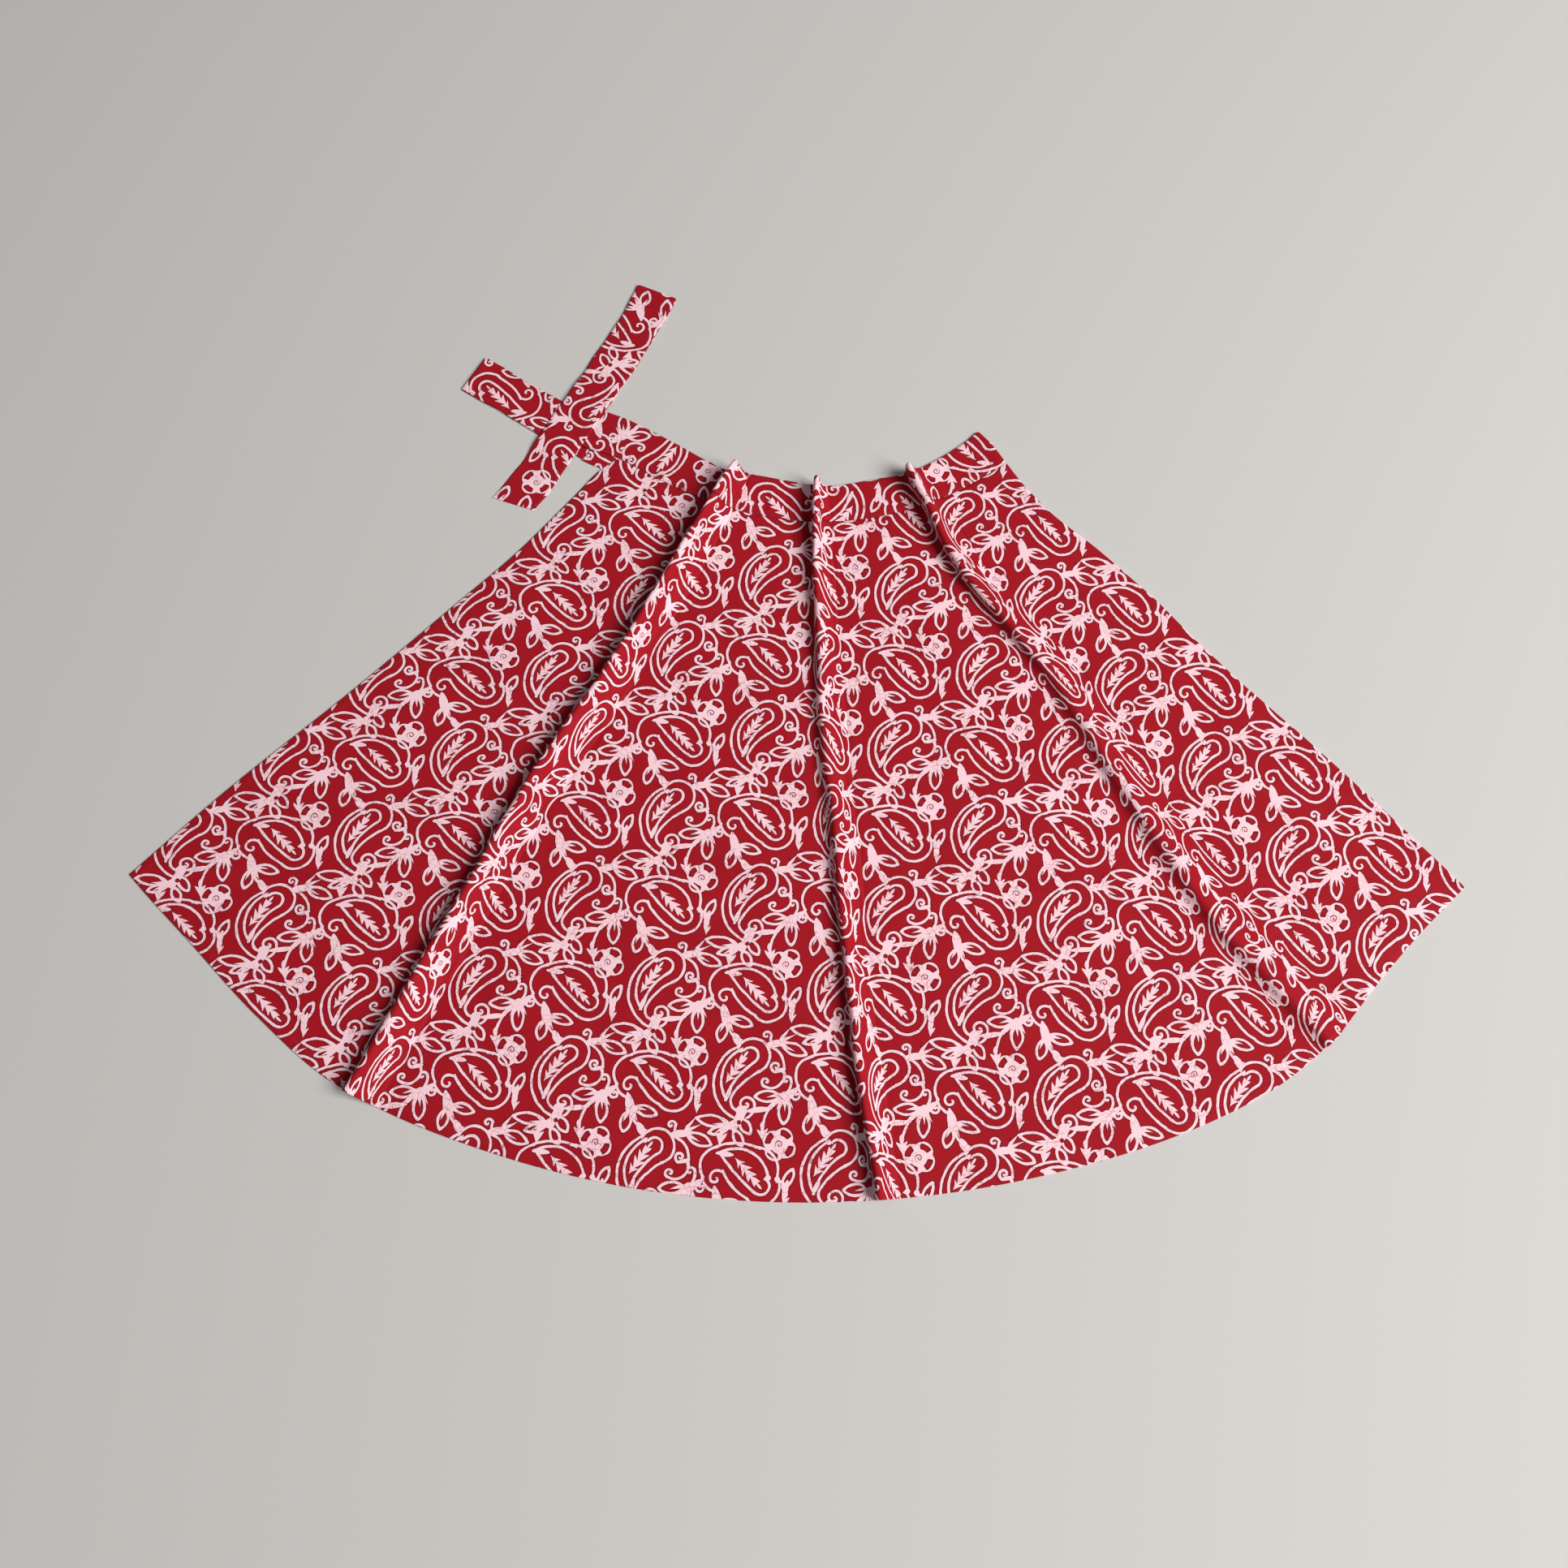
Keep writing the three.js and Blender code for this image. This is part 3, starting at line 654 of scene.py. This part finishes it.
RIGHT_FOLD = np.array([
    (265, 24.6, 25, 30, 1, 0.0), (320, 24.4, 34, 27, 2, 0.1), (430, 25.0, 44, 20, 2, 0.5),
    (560, 28.0, 56, 13, 1, 0.9), (730, 28.6, 62, 12, 0, 1.0), (900, 29.0, 64, 12, 0, 1.0),
    (1120, 31.1, 64, 11, 0, 1.0)])
FOLDS = (LEFT_FOLD, MIDDLE_FOLD, RIGHT_FOLD)

# A fold's section in shares of its width and its height: a firm fold, and a soft one.
FOLD_SECTION = np.array([
    (0.00, 0.00), (0.13, 0.02), (0.23, 0.13), (0.25, 0.36), (0.22, 0.64), (0.21, 0.86), (0.28, 0.98),
    (0.37, 0.97), (0.45, 0.80), (0.54, 0.50), (0.67, 0.22), (0.83, 0.06), (1.00, 0.00)])
SOFT_SECTION = np.array([
    (0.00, 0.00), (0.06, 0.03), (0.13, 0.13), (0.19, 0.32), (0.24, 0.56), (0.28, 0.78), (0.34, 0.95),
    (0.41, 0.97), (0.50, 0.84), (0.61, 0.57), (0.73, 0.28), (0.87, 0.07), (1.00, 0.00)])
CREST_SHARE = 0.32
FOOT_SHARE = 0.88  # where the small crease lies across the section
FOOT_RIDGE = 1.2
FOLD_COLUMNS = 47

# The cloth turning over the folded edge: distance in from the edge and height, in mm.
TURN_SECTION = np.array([
    (16.0, FRONT_MIDDLE), (8.0, 3.1), (3.8, 3.5), (1.4, 3.0), (LAYER / 2, 2.1), (1.3, 1.2),
    (2.6, 0.8), (TURN_END, BACK_MIDDLE)])
TURN_COLUMNS = 23

RISE = 142  # mm, from a rose to the next one up on its right
FALL = 138  # mm, and to the next one down on its right


def panel_print(rose, rise_way, fall_way, repeats):
    """The print as it lies on a panel: where one rose is, and its two directions of repeat, each a
    length times the cosine and the sine of its way."""
    ways = np.radians([rise_way, fall_way])
    rise, fall = np.stack([np.cos(ways), np.sin(ways)], axis=-1) * [[RISE], [FALL]]
    return rose, rise, fall, repeats


# A rose near the middle of each panel, in mm, the two ways of the print there, in degrees, and the
# repeats that lie before that rose in the cloth.
SKIRT_PRINT = (
    panel_print((-447, -37), 43, -42, (-2, 0)),
    panel_print((-201, -107), 43, -46, (-1, 2)),
    panel_print((157, -124), 42, -47, (1, 4)),
    panel_print((424, -48), 43, -48, (3, 5)))


def smooth_through(corners, count):
    """Even points along the smooth curve through a section's corners: each stretch is a cubic whose
    slope at a corner is half the way between that corner's neighbours."""
    last = len(corners) - 1
    at = np.linspace(0, last, count)
    row = np.minimum(at.astype(int), last - 1)
    t = (at - row)[:, None]
    start = corners[row]
    stop = corners[row + 1]
    leave = (stop - corners[np.maximum(row - 1, 0)]) / 2
    arrive = (corners[np.minimum(row + 2, last)] - start) / 2
    bend = (2 * start - 2 * stop + leave + arrive) * t ** 3
    return bend + (3 * stop - 3 * start - 2 * leave - arrive) * t ** 2 + leave * t + start


def bell(distance, half_width):
    """1 in the middle and nothing far out: e to the minus square of distance over half width."""
    return np.exp(-(distance / half_width) ** 2)


def fold_section(cut, fold):
    """One fold on every row: arc lengths and heights, between the firm and the soft section. The
    crest's lean dies out towards the feet, and the right foot is pressed into a small crease."""
    radius = cut.radius_at(fold[0, 1])
    crest, width, height, lean, soft = (read(fold, radius, column) for column in (1, 2, 3, 4, 5))
    firm = smooth_through(FOLD_SECTION, FOLD_COLUMNS)
    share = firm[:, None] + (smooth_through(SOFT_SECTION, FOLD_COLUMNS) - firm)[:, None] * soft[None]
    across = share[..., 0].T
    up = np.maximum(share[..., 1].T, 0)
    wavy = np.sin(radius / 37 + crest) + 0.5 * np.sin(radius / 13)
    aside = (across - CREST_SHARE) * width + lean * (1 - up ** 1.5) + wavy * up
    from_foot = (across - FOOT_SHARE) * width + 0.5 * wavy
    foot = FOOT_RIDGE * bell(from_foot, 1.7) - 0.6 * FOOT_RIDGE * bell(from_foot - 3.4, 2.0)
    return cut.on_arc(crest, aside), FRONT_MIDDLE + up * height + foot


def turned_edge(cut):
    """The turn over the folded edge on every row, as arc lengths and heights."""
    share = smooth_through(TURN_SECTION, TURN_COLUMNS)
    arc = cut.on_arc(cut.folded_edge(), -share[:, 0])
    return arc, np.broadcast_to(share[:, 1], arc.shape)


def run_along(arc, height):
    """Length run along each row from its start."""
    steps = np.hypot(np.diff(arc, axis=1), np.diff(height, axis=1))
    return np.concatenate([np.zeros((len(arc), 1)), np.cumsum(steps, axis=1)], axis=1)


def front_half(cut, left_bearing, edge_steps, panel_columns, prints):
    """The half on top, row by row: its flat panels, its folds and its turned edge.

    Returns the arc lengths and heights of the cloth's middle, the same rows smoothed out flat, and
    the place on the printed cloth. On a panel that is the panel's own lattice, and over a fold it
    runs evenly by length from the lattice at the left foot to the lattice at the right foot."""
    left = cut.on_arc(left_bearing(cut))
    start = left + np.asarray(edge_steps, float)
    arcs = [start]
    heights = [np.full(start.shape, FRONT_MIDDLE)]
    stretches = [fold_section(cut, fold) for fold in FOLDS] + [turned_edge(cut)]
    counts = [start.shape[1]]
    for (arc, height), columns in zip(stretches, panel_columns):
        panel = spaced(arcs[-1][:, -1:], arc[:, :1], columns)
        arcs += [panel, arc]
        heights += [np.full(panel.shape, FRONT_MIDDLE), height]
        counts += [columns, arc.shape[1]]
    arc = np.concatenate(arcs, axis=1)
    height = np.concatenate(heights, axis=1)
    run = run_along(arc, height)
    ends = np.cumsum(counts)

    uv = np.empty(arc.shape + (2,))
    column = 0
    for number, print_place in enumerate(prints):
        stop = ends[2 * number + 1]
        uv[:, column:stop] = lattice(cut.place(arc[:, column:stop], 0), *print_place)
        if number:
            fold_start = ends[2 * number - 1] - 1
            before = uv[:, fold_start:fold_start + 1]
            after = uv[:, column - 1:column]
            after[...] = lattice(cut.place(arc[:, column - 1:column], 0), *print_place)
            share = run[:, fold_start:column] - run[:, fold_start:fold_start + 1]
            share = (share / share[:, -1:])[..., None]
            uv[:, fold_start:column] = before + (after - before) * share
        column = ends[min(2 * number + 2, len(ends) - 1)]
    turn = ends[-2] - 1
    unrolled = arc[:, turn:turn + 1] + run[:, turn:] - run[:, turn:turn + 1]
    uv[:, turn:] = lattice(cut.place(unrolled, 0), *prints[-1])
    return arc, height, left + run, uv


def outer_face(cut, arc, height, relief):
    """The cloth's outer face: the middle line moved out, square to the section, by half a layer
    and the relief."""
    along = np.gradient(arc, axis=1)
    rise = np.gradient(height, axis=1)
    outward = (LAYER / 2 + relief) / np.hypot(along, rise)
    return cut.place(arc - outward * rise, height + outward * along)


# How far the top half settles towards its cut edges: distance in from the edge and drop, in mm.
SETTLING = np.array([(0, 1.9), (4, 1.3), (10, 0.8), (30, 0.3), (60, 0.0)])

# Broad soft waves over the cloth: wavelength, bearing and height, in mm and degrees.
WAVES = ((151, 25, 0.24), (97, 104, 0.18), (59, -38, 0.10), (43, 71, 0.06))
WAVES_MIDDLE = 0.2

# Creases by their two ends, their half width and their height, in mm.
CREASES = np.array([
    (152, 148, 92, 48, 5.0, 0.9), (160, 140, 104, 36, 4.0, -0.7), (92, 48, 34, 24, 4.0, 0.7),
    (-70, 60, -20, -40, 9.0, 0.5), (-330, -60, -250, -160, 10, 0.6), (-560, -330, -470, -360, 8, 0.7),
    (-620, -300, -560, -370, 7, -0.6), (300, -150, 350, -260, 12, 0.5), (520, -300, 600, -260, 9, 0.6),
    (150, -330, 170, -450, 12, 0.6), (-180, -300, -200, -430, 12, 0.5), (-360, -390, -330, -330, 9, 0.9),
    (230, 60, 262, -20, 9, 0.5), (-232, 120, -190, 190, 8, 0.5), (350, 120, 420, 20, 9, -0.5)])


def soft_relief(x, y, creases):
    """Height of the cloth's waves and creases: sines of the distance along each wave's bearing, and
    for each crease a bell of the distance from its line that dies out towards both its ends."""
    raised = np.full(x.shape, WAVES_MIDDLE)
    for wavelength, bearing, height in WAVES:
        along = x * np.cos(np.radians(bearing)) + y * np.sin(np.radians(bearing))
        bent = along + 0.12 * wavelength * np.sin((x - y) / wavelength)
        raised = raised + height * np.sin(2 * np.pi * bent / wavelength)
    for x0, y0, x1, y1, width, height in creases:
        run_x, run_y = x1 - x0, y1 - y0
        share = ((x - x0) * run_x + (y - y0) * run_y) / (run_x ** 2 + run_y ** 2)
        share = np.clip(share, 0, 1)
        away = np.hypot(x - x0 - share * run_x, y - y0 - share * run_y)
        raised = raised + height * bell(away, width) * np.sin(np.pi * share) ** 0.7
    return raised


HEM_WIDTH = 13
HEM_RAISED = 0.3
STITCH_LINE = 10.5
GROOVE_DEPTH = 0.4
PUCKER_LENGTH = 23
PUCKER_HEIGHT = 0.2
SEAM_DEPTH = 0.7


def hem_relief(distance, along):
    """A turned hem: raised by its second layer as far as its width, with a groove along its
    stitches, and with shallow puckers that run from the stitches to the edge."""
    raised = HEM_RAISED * np.clip((HEM_WIDTH - distance) / 2, 0, 1)
    groove = -GROOVE_DEPTH * bell(distance - STITCH_LINE, 1.1)
    uneven = along + 7 * np.sin(along / 61) + 4 * np.sin(along / 23)
    pucker = PUCKER_HEIGHT * np.sin(2 * np.pi * uneven / PUCKER_LENGTH) * bell(distance - 8, 6)
    return raised + groove + pucker


def skirt_front_face(cut, arc, height):
    """The outer face of the top half of the skirt, settled at its cut edges, with hems and creases."""
    in_from_edge = arc - arc[:, :1]
    in_from_hem = (1 - cut.shares) * (cut.radius_at(0)[-1] - cut.radius_at(0)[0])
    drop = np.maximum(read(SETTLING, in_from_edge), read(SETTLING, in_from_hem))
    lifted = np.clip((height - BACK_MIDDLE) / (FRONT_MIDDLE - BACK_MIDDLE), 0, 1)
    flat = cut.place(arc, 0)
    calm = np.clip(np.minimum(in_from_edge, in_from_hem) / 40, 0, 1)
    relief = soft_relief(flat[..., 0], flat[..., 1], CREASES) * calm
    relief = relief + hem_relief(in_from_hem, arc * cut.nominal[-1] / cut.nominal)
    relief = relief + hem_relief(in_from_edge, cut.radius_at(OPEN_EDGE_BEARING))
    seam = -SEAM_DEPTH * bell(cut.shares * cut.nominal[-1], 2.5)
    return outer_face(cut, arc, height - drop * lifted, (relief + seam) * lifted)


skirt_cut = Cut(moved_out(FRONT_SEAM, GAP), HEM, graded(790, SEAM_STEPS, HEM_STEPS, 120))
skirt_arc, skirt_height, skirt_flat, skirt_uv = front_half(
    skirt_cut, Cut.open_edge, HEM_STEPS, (85, 85, 84, 85), SKIRT_PRINT)
skirt_points = skirt_front_face(skirt_cut, skirt_arc, skirt_height)
skirt_front = cloth_piece("skirt_front_cloth", skirt_points, skirt_uv, laid_flat(skirt_cut, skirt_flat))
finish_piece(skirt_front, "skirt_front")


# ---- the waistband ----
# A straight strip of the same cotton, folded double along its top and sewn on over the raw edge of
# the skirt. It follows the three folds. Its front end is tucked under its tie.

FRONT_TOP = np.array([
    (-58, 313), (-50, 288), (-38, 272), (-24, 270), (-12, 266), (-4, 268), (4, 273), (16, 275),
    (24, 281), (34, 284), (47, 288)])
BACK_TOP = np.array([
    (-53, 318), (-45, 299), (-36, 284), (-24, 276), (-12, 272), (4, 279), (24, 286), (47, 292)])
BAND_WIDTH = 51
TIE_WIDTH = 52

# The ties by the middle of each end, in mm from the apex: the far end and the near end.
BACK_TIE_ENDS = np.array([(-418.7, -119.3), (-266.0, -214.8)])
FRONT_TIE_ENDS = np.array([(-192.3, -3.8), (-362.1, -296.2)])
BACK_TIE_LOWER_RUN = 180


def tie_directions(ends):
    """The way along a tie and the way across it, to its upper left."""
    ahead = (ends[1] - ends[0]) / np.linalg.norm(ends[1] - ends[0])
    return ahead, np.array([-ahead[1], ahead[0]])


def back_band_end(cut):
    """The bearing of the band's square end, where its tie is sewn on."""
    ahead, aside = tie_directions(BACK_TIE_ENDS)
    across = (0.5 - cut.shares) * TIE_WIDTH
    end = BACK_TIE_ENDS[0] + ahead * (BACK_TIE_LOWER_RUN + 2 * GAP) + aside * across
    return np.degrees(np.arctan2(end[:, :1], -end[:, 1:]))


def front_band_end(cut):
    """The bearing of the band's hidden end, under its tie."""
    return -57 + 4.5 * cut.shares


BAND_STEPS = (0, 0.5, 1.2, 2, 3, 4.5)
BAND_THICKNESS = 1.4
band_shares = graded(BAND_WIDTH, BAND_STEPS, BAND_STEPS, 15)
band_back = back_half(
    "waistband_back_cloth", BACK_TOP, BACK_SEAM, band_shares, back_band_end, BAND_THICKNESS,
    (-60, 240), (-104, 98), (-95, -99))
finish_piece(band_back, "waistband_back")

BAND_PRINT = tuple(
    (rose, (-104, -98), (-100, 98), (0, 0))
    for rose in ((-208.9, 400.5), (-256.7, 418.3), (-297.8, 418.7), (-337.9, 400.5)))

# The band's own creases and pinches, in the same columns as the skirt's.
BAND_CREASES = np.array([
    (-34, 285, -38, 240, 2.6, -1.0), (-29, 285, -32, 240, 2.6, 0.9), (-60, 285, -52, 235, 6, 0.6),
    (-8, 280, -16, 240, 5, -0.6), (-150, 345, -170, 300, 7, 0.6), (-105, 320, -120, 270, 6, -0.6),
    (60, 285, 50, 235, 6, 0.5), (120, 290, 112, 240, 7, 0.6), (185, 320, 180, 270, 5, -0.6),
    (236, 350, 250, 300, 7, 0.5)])
TOP_ROUND = np.array([(0, -1.0), (0.5, -0.45), (1.2, -0.15), (2, 0.0), (3.5, 0.25), (6, 0.3)])
SEWN_ROUND = np.array([(0, -0.35), (0.5, 0.0), (1.2, 0.12), (2, -0.1), (3.5, 0.25), (6, 0.3)])


def band_front_face(cut, arc, height):
    """The outer face of the top half of the band: round along its fold, thicker than the skirt,
    with a groove by its stitches, and with its own creases."""
    from_top = cut.shares * BAND_WIDTH
    section = np.minimum(read(TOP_ROUND, from_top), read(SEWN_ROUND, BAND_WIDTH - from_top))
    flat = cut.place(arc, 0)
    middle = np.sin(np.pi * cut.shares)
    creases = soft_relief(flat[..., 0], flat[..., 1], BAND_CREASES) * middle
    lifted = np.clip((height - BACK_MIDDLE) / (FRONT_MIDDLE - BACK_MIDDLE), 0, 1)
    return outer_face(cut, arc, height, (section + creases) * lifted)


band_cut = Cut(FRONT_TOP, FRONT_SEAM, band_shares)
band_arc, band_height, band_flat, band_uv = front_half(
    band_cut, front_band_end, (0, 0.5, 1.2, 2, 3, 4.5), (70, 50, 46, 43), BAND_PRINT)
band_points = band_front_face(band_cut, band_arc, band_height)
band_front = cloth_piece("waistband_front_cloth", band_points, band_uv, laid_flat(band_cut, band_flat))
finish_piece(band_front, "waistband_front")


# ---- the two ties ----
# Each end of the waistband runs on into a narrow tie, doubled back on itself here. The back tie lies
# to the upper left, and the front tie stands across it, its free end cut on a slant.

BACK_TIE_LIFT = np.array([(0, FRONT_MIDDLE), (71, FRONT_MIDDLE), (142, FRONT_MIDDLE)])
FRONT_TIE_LIFT = np.array([
    (0, FRONT_MIDDLE), (138, FRONT_MIDDLE), (164, FRONT_MIDDLE + LAYER + GAP),
    (252, FRONT_MIDDLE + LAYER + GAP), (284, BACK_MIDDLE), (338, BACK_MIDDLE)])

# A tie doubling back at its far end: distance in from the end and height, in mm.
TIE_TURN = np.array([
    (12.0, BACK_MIDDLE), (4.5, BACK_MIDDLE), (1.8, 0.95), (LAYER / 2, 1.8), (1.6, 2.8), (5.0, 3.05),
    (12.0, FRONT_MIDDLE)])
FAR_SLANT_REACH = 60


def tie_strip(name, ends, lower_run, upper_run, lift, far_slant, near_slant, bow, print_place):
    """A flat strip doubled back at its far end. A line of distances along the strip and of heights
    is moved out by half a layer, then carried across the strip's width. The slants shift the ends by
    the place across, and the bow moves the upper run aside by a curve that is flat in its middle.
    Returns the upper run's points and the piece."""
    turn = smooth_through(TIE_TURN, 25)
    lower = np.linspace(lower_run, turn[0, 0], int(lower_run / 3))[:-1]
    upper = np.linspace(turn[-1, 0], upper_run, int(upper_run / 2))[1:]
    along = np.concatenate([lower, turn[:, 0], upper])
    height = np.concatenate([np.full(lower.shape, BACK_MIDDLE), turn[:, 1], read(lift, upper)])
    if len(along) % 2 == 0:
        along = np.concatenate([along[:1], [(along[0] + along[1]) / 2], along[1:]])
        height = np.concatenate([height[:1], [(height[0] + height[1]) / 2], height[1:]])
    run = run_along(along[None], height[None])[0]
    unrolled = run - run[-1] + upper_run
    run_on = np.gradient(along)
    rise = np.gradient(height)
    length = np.hypot(run_on, rise)
    side = graded(TIE_WIDTH, BAND_STEPS, BAND_STEPS, 15)[:, None] - 0.5
    from_rim = (0.5 - abs(side)) * TIE_WIDTH
    outward = LAYER / 2 + np.minimum(read(TOP_ROUND, from_rim), 0.1)
    along = along - outward * rise / length
    height = height + outward * run_on / length
    ahead, aside = tie_directions(ends)
    far_cut = far_slant * np.maximum(0, 1 - along / FAR_SLANT_REACH)
    near_cut = near_slant * np.clip((along - upper_run + 30) / 30, 0, 1)
    bent = bow * (1 - (2 * along / upper_run - 1) ** 4)
    distance = along + (far_cut + near_cut) * side
    uneven = np.sin(run / 17) + 0.7 * np.sin(run / 7.3 + 1)
    offset = bent - side * TIE_WIDTH + 0.5 * uneven * (2 * side) ** 3
    plan = APEX + ends[0] + distance[..., None] * ahead + offset[..., None] * aside
    points = np.concatenate([plan, height[..., None]], axis=-1)
    strip = np.stack(np.broadcast_arrays(run, -side * TIE_WIDTH), axis=-1)
    on_print = APEX + ends[0] + unrolled[:, None] * ahead - (side * TIE_WIDTH)[..., None] * aside
    return points[:, -len(upper):], cloth_piece(name, points, lattice(on_print, *print_place), strip)


TURNED_RISE = (-104, -98)
TURNED_FALL = (-100, 98)


tie_back_points, tie_back = tie_strip(
    "tie_back_cloth", BACK_TIE_ENDS, BACK_TIE_LOWER_RUN, 142, BACK_TIE_LIFT, 0, 0, 0,
    ((-300, 470), TURNED_RISE, TURNED_FALL))
finish_piece(tie_back, "tie_back")

tie_front_points, tie_front = tie_strip(
    "tie_front_cloth", FRONT_TIE_ENDS, 184, 338, FRONT_TIE_LIFT, 7, 11, 6,
    ((-199, 366), (-122.5, -75), (-79, 117)))
finish_piece(tie_front, "tie_front")


# ---- the stitching ----
# Red cotton thread in short machine stitches holds the hems and both edges of the band, and runs
# along the ties. Each stitch lies in the cloth's groove with its ends sunk into the needle holes.

THREAD_COLOUR = (0.24, 0.004, 0.010, 1.0)
THREAD_RADIUS = 0.22  # mm
THREAD_SIDES = 6
STITCH_PITCH = 3.1
STITCH_SEED = 7

# A stitch from end to end: place along it and depth of its middle, in mm, and share of the radius.
STITCH_RINGS = np.array([(-1.3, 0.25, 0.3), (-0.8, 0.05, 1.0), (0.8, 0.05, 1.0), (1.3, 0.25, 0.3)])

sewing_thread, thread_shader = plain_material("sewing_thread", THREAD_COLOUR, 0.6)
thread_shader.inputs["Sheen Weight"].default_value = 0.1
fibres = sewing_thread.node_tree.nodes.new("ShaderNodeTexNoise")
fibres.inputs["Scale"].default_value = 2500
fibre_bump = sewing_thread.node_tree.nodes.new("ShaderNodeBump")
fibre_bump.inputs["Strength"].default_value = 0.5
fibre_bump.inputs["Distance"].default_value = 0.0001
own_place = sewing_thread.node_tree.nodes.new("ShaderNodeTexCoord")
sewing_thread.node_tree.links.new(own_place.outputs["Object"], fibres.inputs["Vector"])
sewing_thread.node_tree.links.new(fibres.outputs["Fac"], fibre_bump.inputs["Height"])
sewing_thread.node_tree.links.new(fibre_bump.outputs["Normal"], thread_shader.inputs["Normal"])


def midway(grid, line, axis):
    """The points midway between a grid's line of that number and the next one."""
    return (np.take(grid, line, axis) + np.take(grid, line + 1, axis)) / 2


def evenly_along(line, outward):
    """Even places along a line of points, one stitch apart, with the way out of the cloth at each."""
    run = np.concatenate([[0], np.cumsum(np.linalg.norm(np.diff(line, axis=0), axis=1))])
    at = np.arange(STITCH_PITCH, run[-1] - STITCH_PITCH, STITCH_PITCH)
    columns = np.concatenate([line, outward], axis=1).T
    found = np.stack([np.interp(at, run, column) for column in columns], axis=1)
    return found[:, :3], found[:, 3:]


def stitch_row(grid, line, axis, skip=0):
    """Stitches along a line of a piece's outer face: for each, the points of its rings. A ring is a
    circle square to the way ahead, sunk by its depth and moved along by its place."""
    stop = -skip if skip else None
    places, outward = evenly_along(
        midway(grid, line, axis)[:stop], midway(unit_normals(grid), line, axis)[:stop])
    ahead = np.gradient(places, axis=0)
    ahead = ahead / np.linalg.norm(ahead, axis=1, keepdims=True)
    aside = np.cross(outward, ahead)
    random = np.random.default_rng(STITCH_SEED)
    places = places + aside * random.normal(0, 0.12, (len(places), 1))
    ahead = ahead + aside * random.normal(0, 0.05, (len(places), 1))
    turn = 2 * np.pi * np.arange(THREAD_SIDES) / THREAD_SIDES
    radius = THREAD_RADIUS * STITCH_RINGS[:, 2:]
    place, depth = STITCH_RINGS[:, :1], STITCH_RINGS[:, 1:2]
    moved = (place + 0 * turn, radius * np.cos(turn), radius * np.sin(turn) - depth)
    ways = (ahead, aside, outward)
    rings = sum(step[..., None] * way[:, None, None] for step, way in zip(moved, ways))
    return (places[:, None, None] + rings).reshape(-1, len(STITCH_RINGS) * THREAD_SIDES, 3)


def stitches(name, rows):
    """One piece of many stitches: each is a closed tube of rings with a face over both its ends."""
    points = np.concatenate(rows)
    sides = np.arange(THREAD_SIDES)
    rings = THREAD_SIDES * np.arange(len(STITCH_RINGS))
    ring = rings[:-1, None]
    following = (sides + 1) % THREAD_SIDES
    walls = np.stack(
        [ring + sides, ring + following, ring + THREAD_SIDES + following, ring + THREAD_SIDES + sides], -1)
    first = (points.shape[1] * np.arange(len(points)))[:, None, None]
    walls = first + walls.reshape(-1, 4)
    ends = first + np.stack([sides[::-1], rings[-1] + sides])
    mesh = bpy.data.meshes.new(name)
    faces = walls.reshape(-1, 4).tolist() + ends.reshape(-1, THREAD_SIDES).tolist()
    mesh.from_pydata((points.reshape(-1, 3) * MM).tolist(), [], faces)
    mesh.shade_smooth()
    mesh.materials.append(sewing_thread)
    piece = in_scene(name, mesh)
    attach(piece, "root")


stitches("skirt_stitches", [
    stitch_row(skirt_points, -7, 0, TURN_COLUMNS), stitch_row(skirt_points, 5, 1)])
stitches("waistband_stitches", [
    stitch_row(band_points, 3, 0, TURN_COLUMNS), stitch_row(band_points, -5, 0, TURN_COLUMNS)])
stitches("tie_stitches", [
    stitch_row(points, line, 0) for points in (tie_back_points, tie_front_points) for line in (3, -5)])
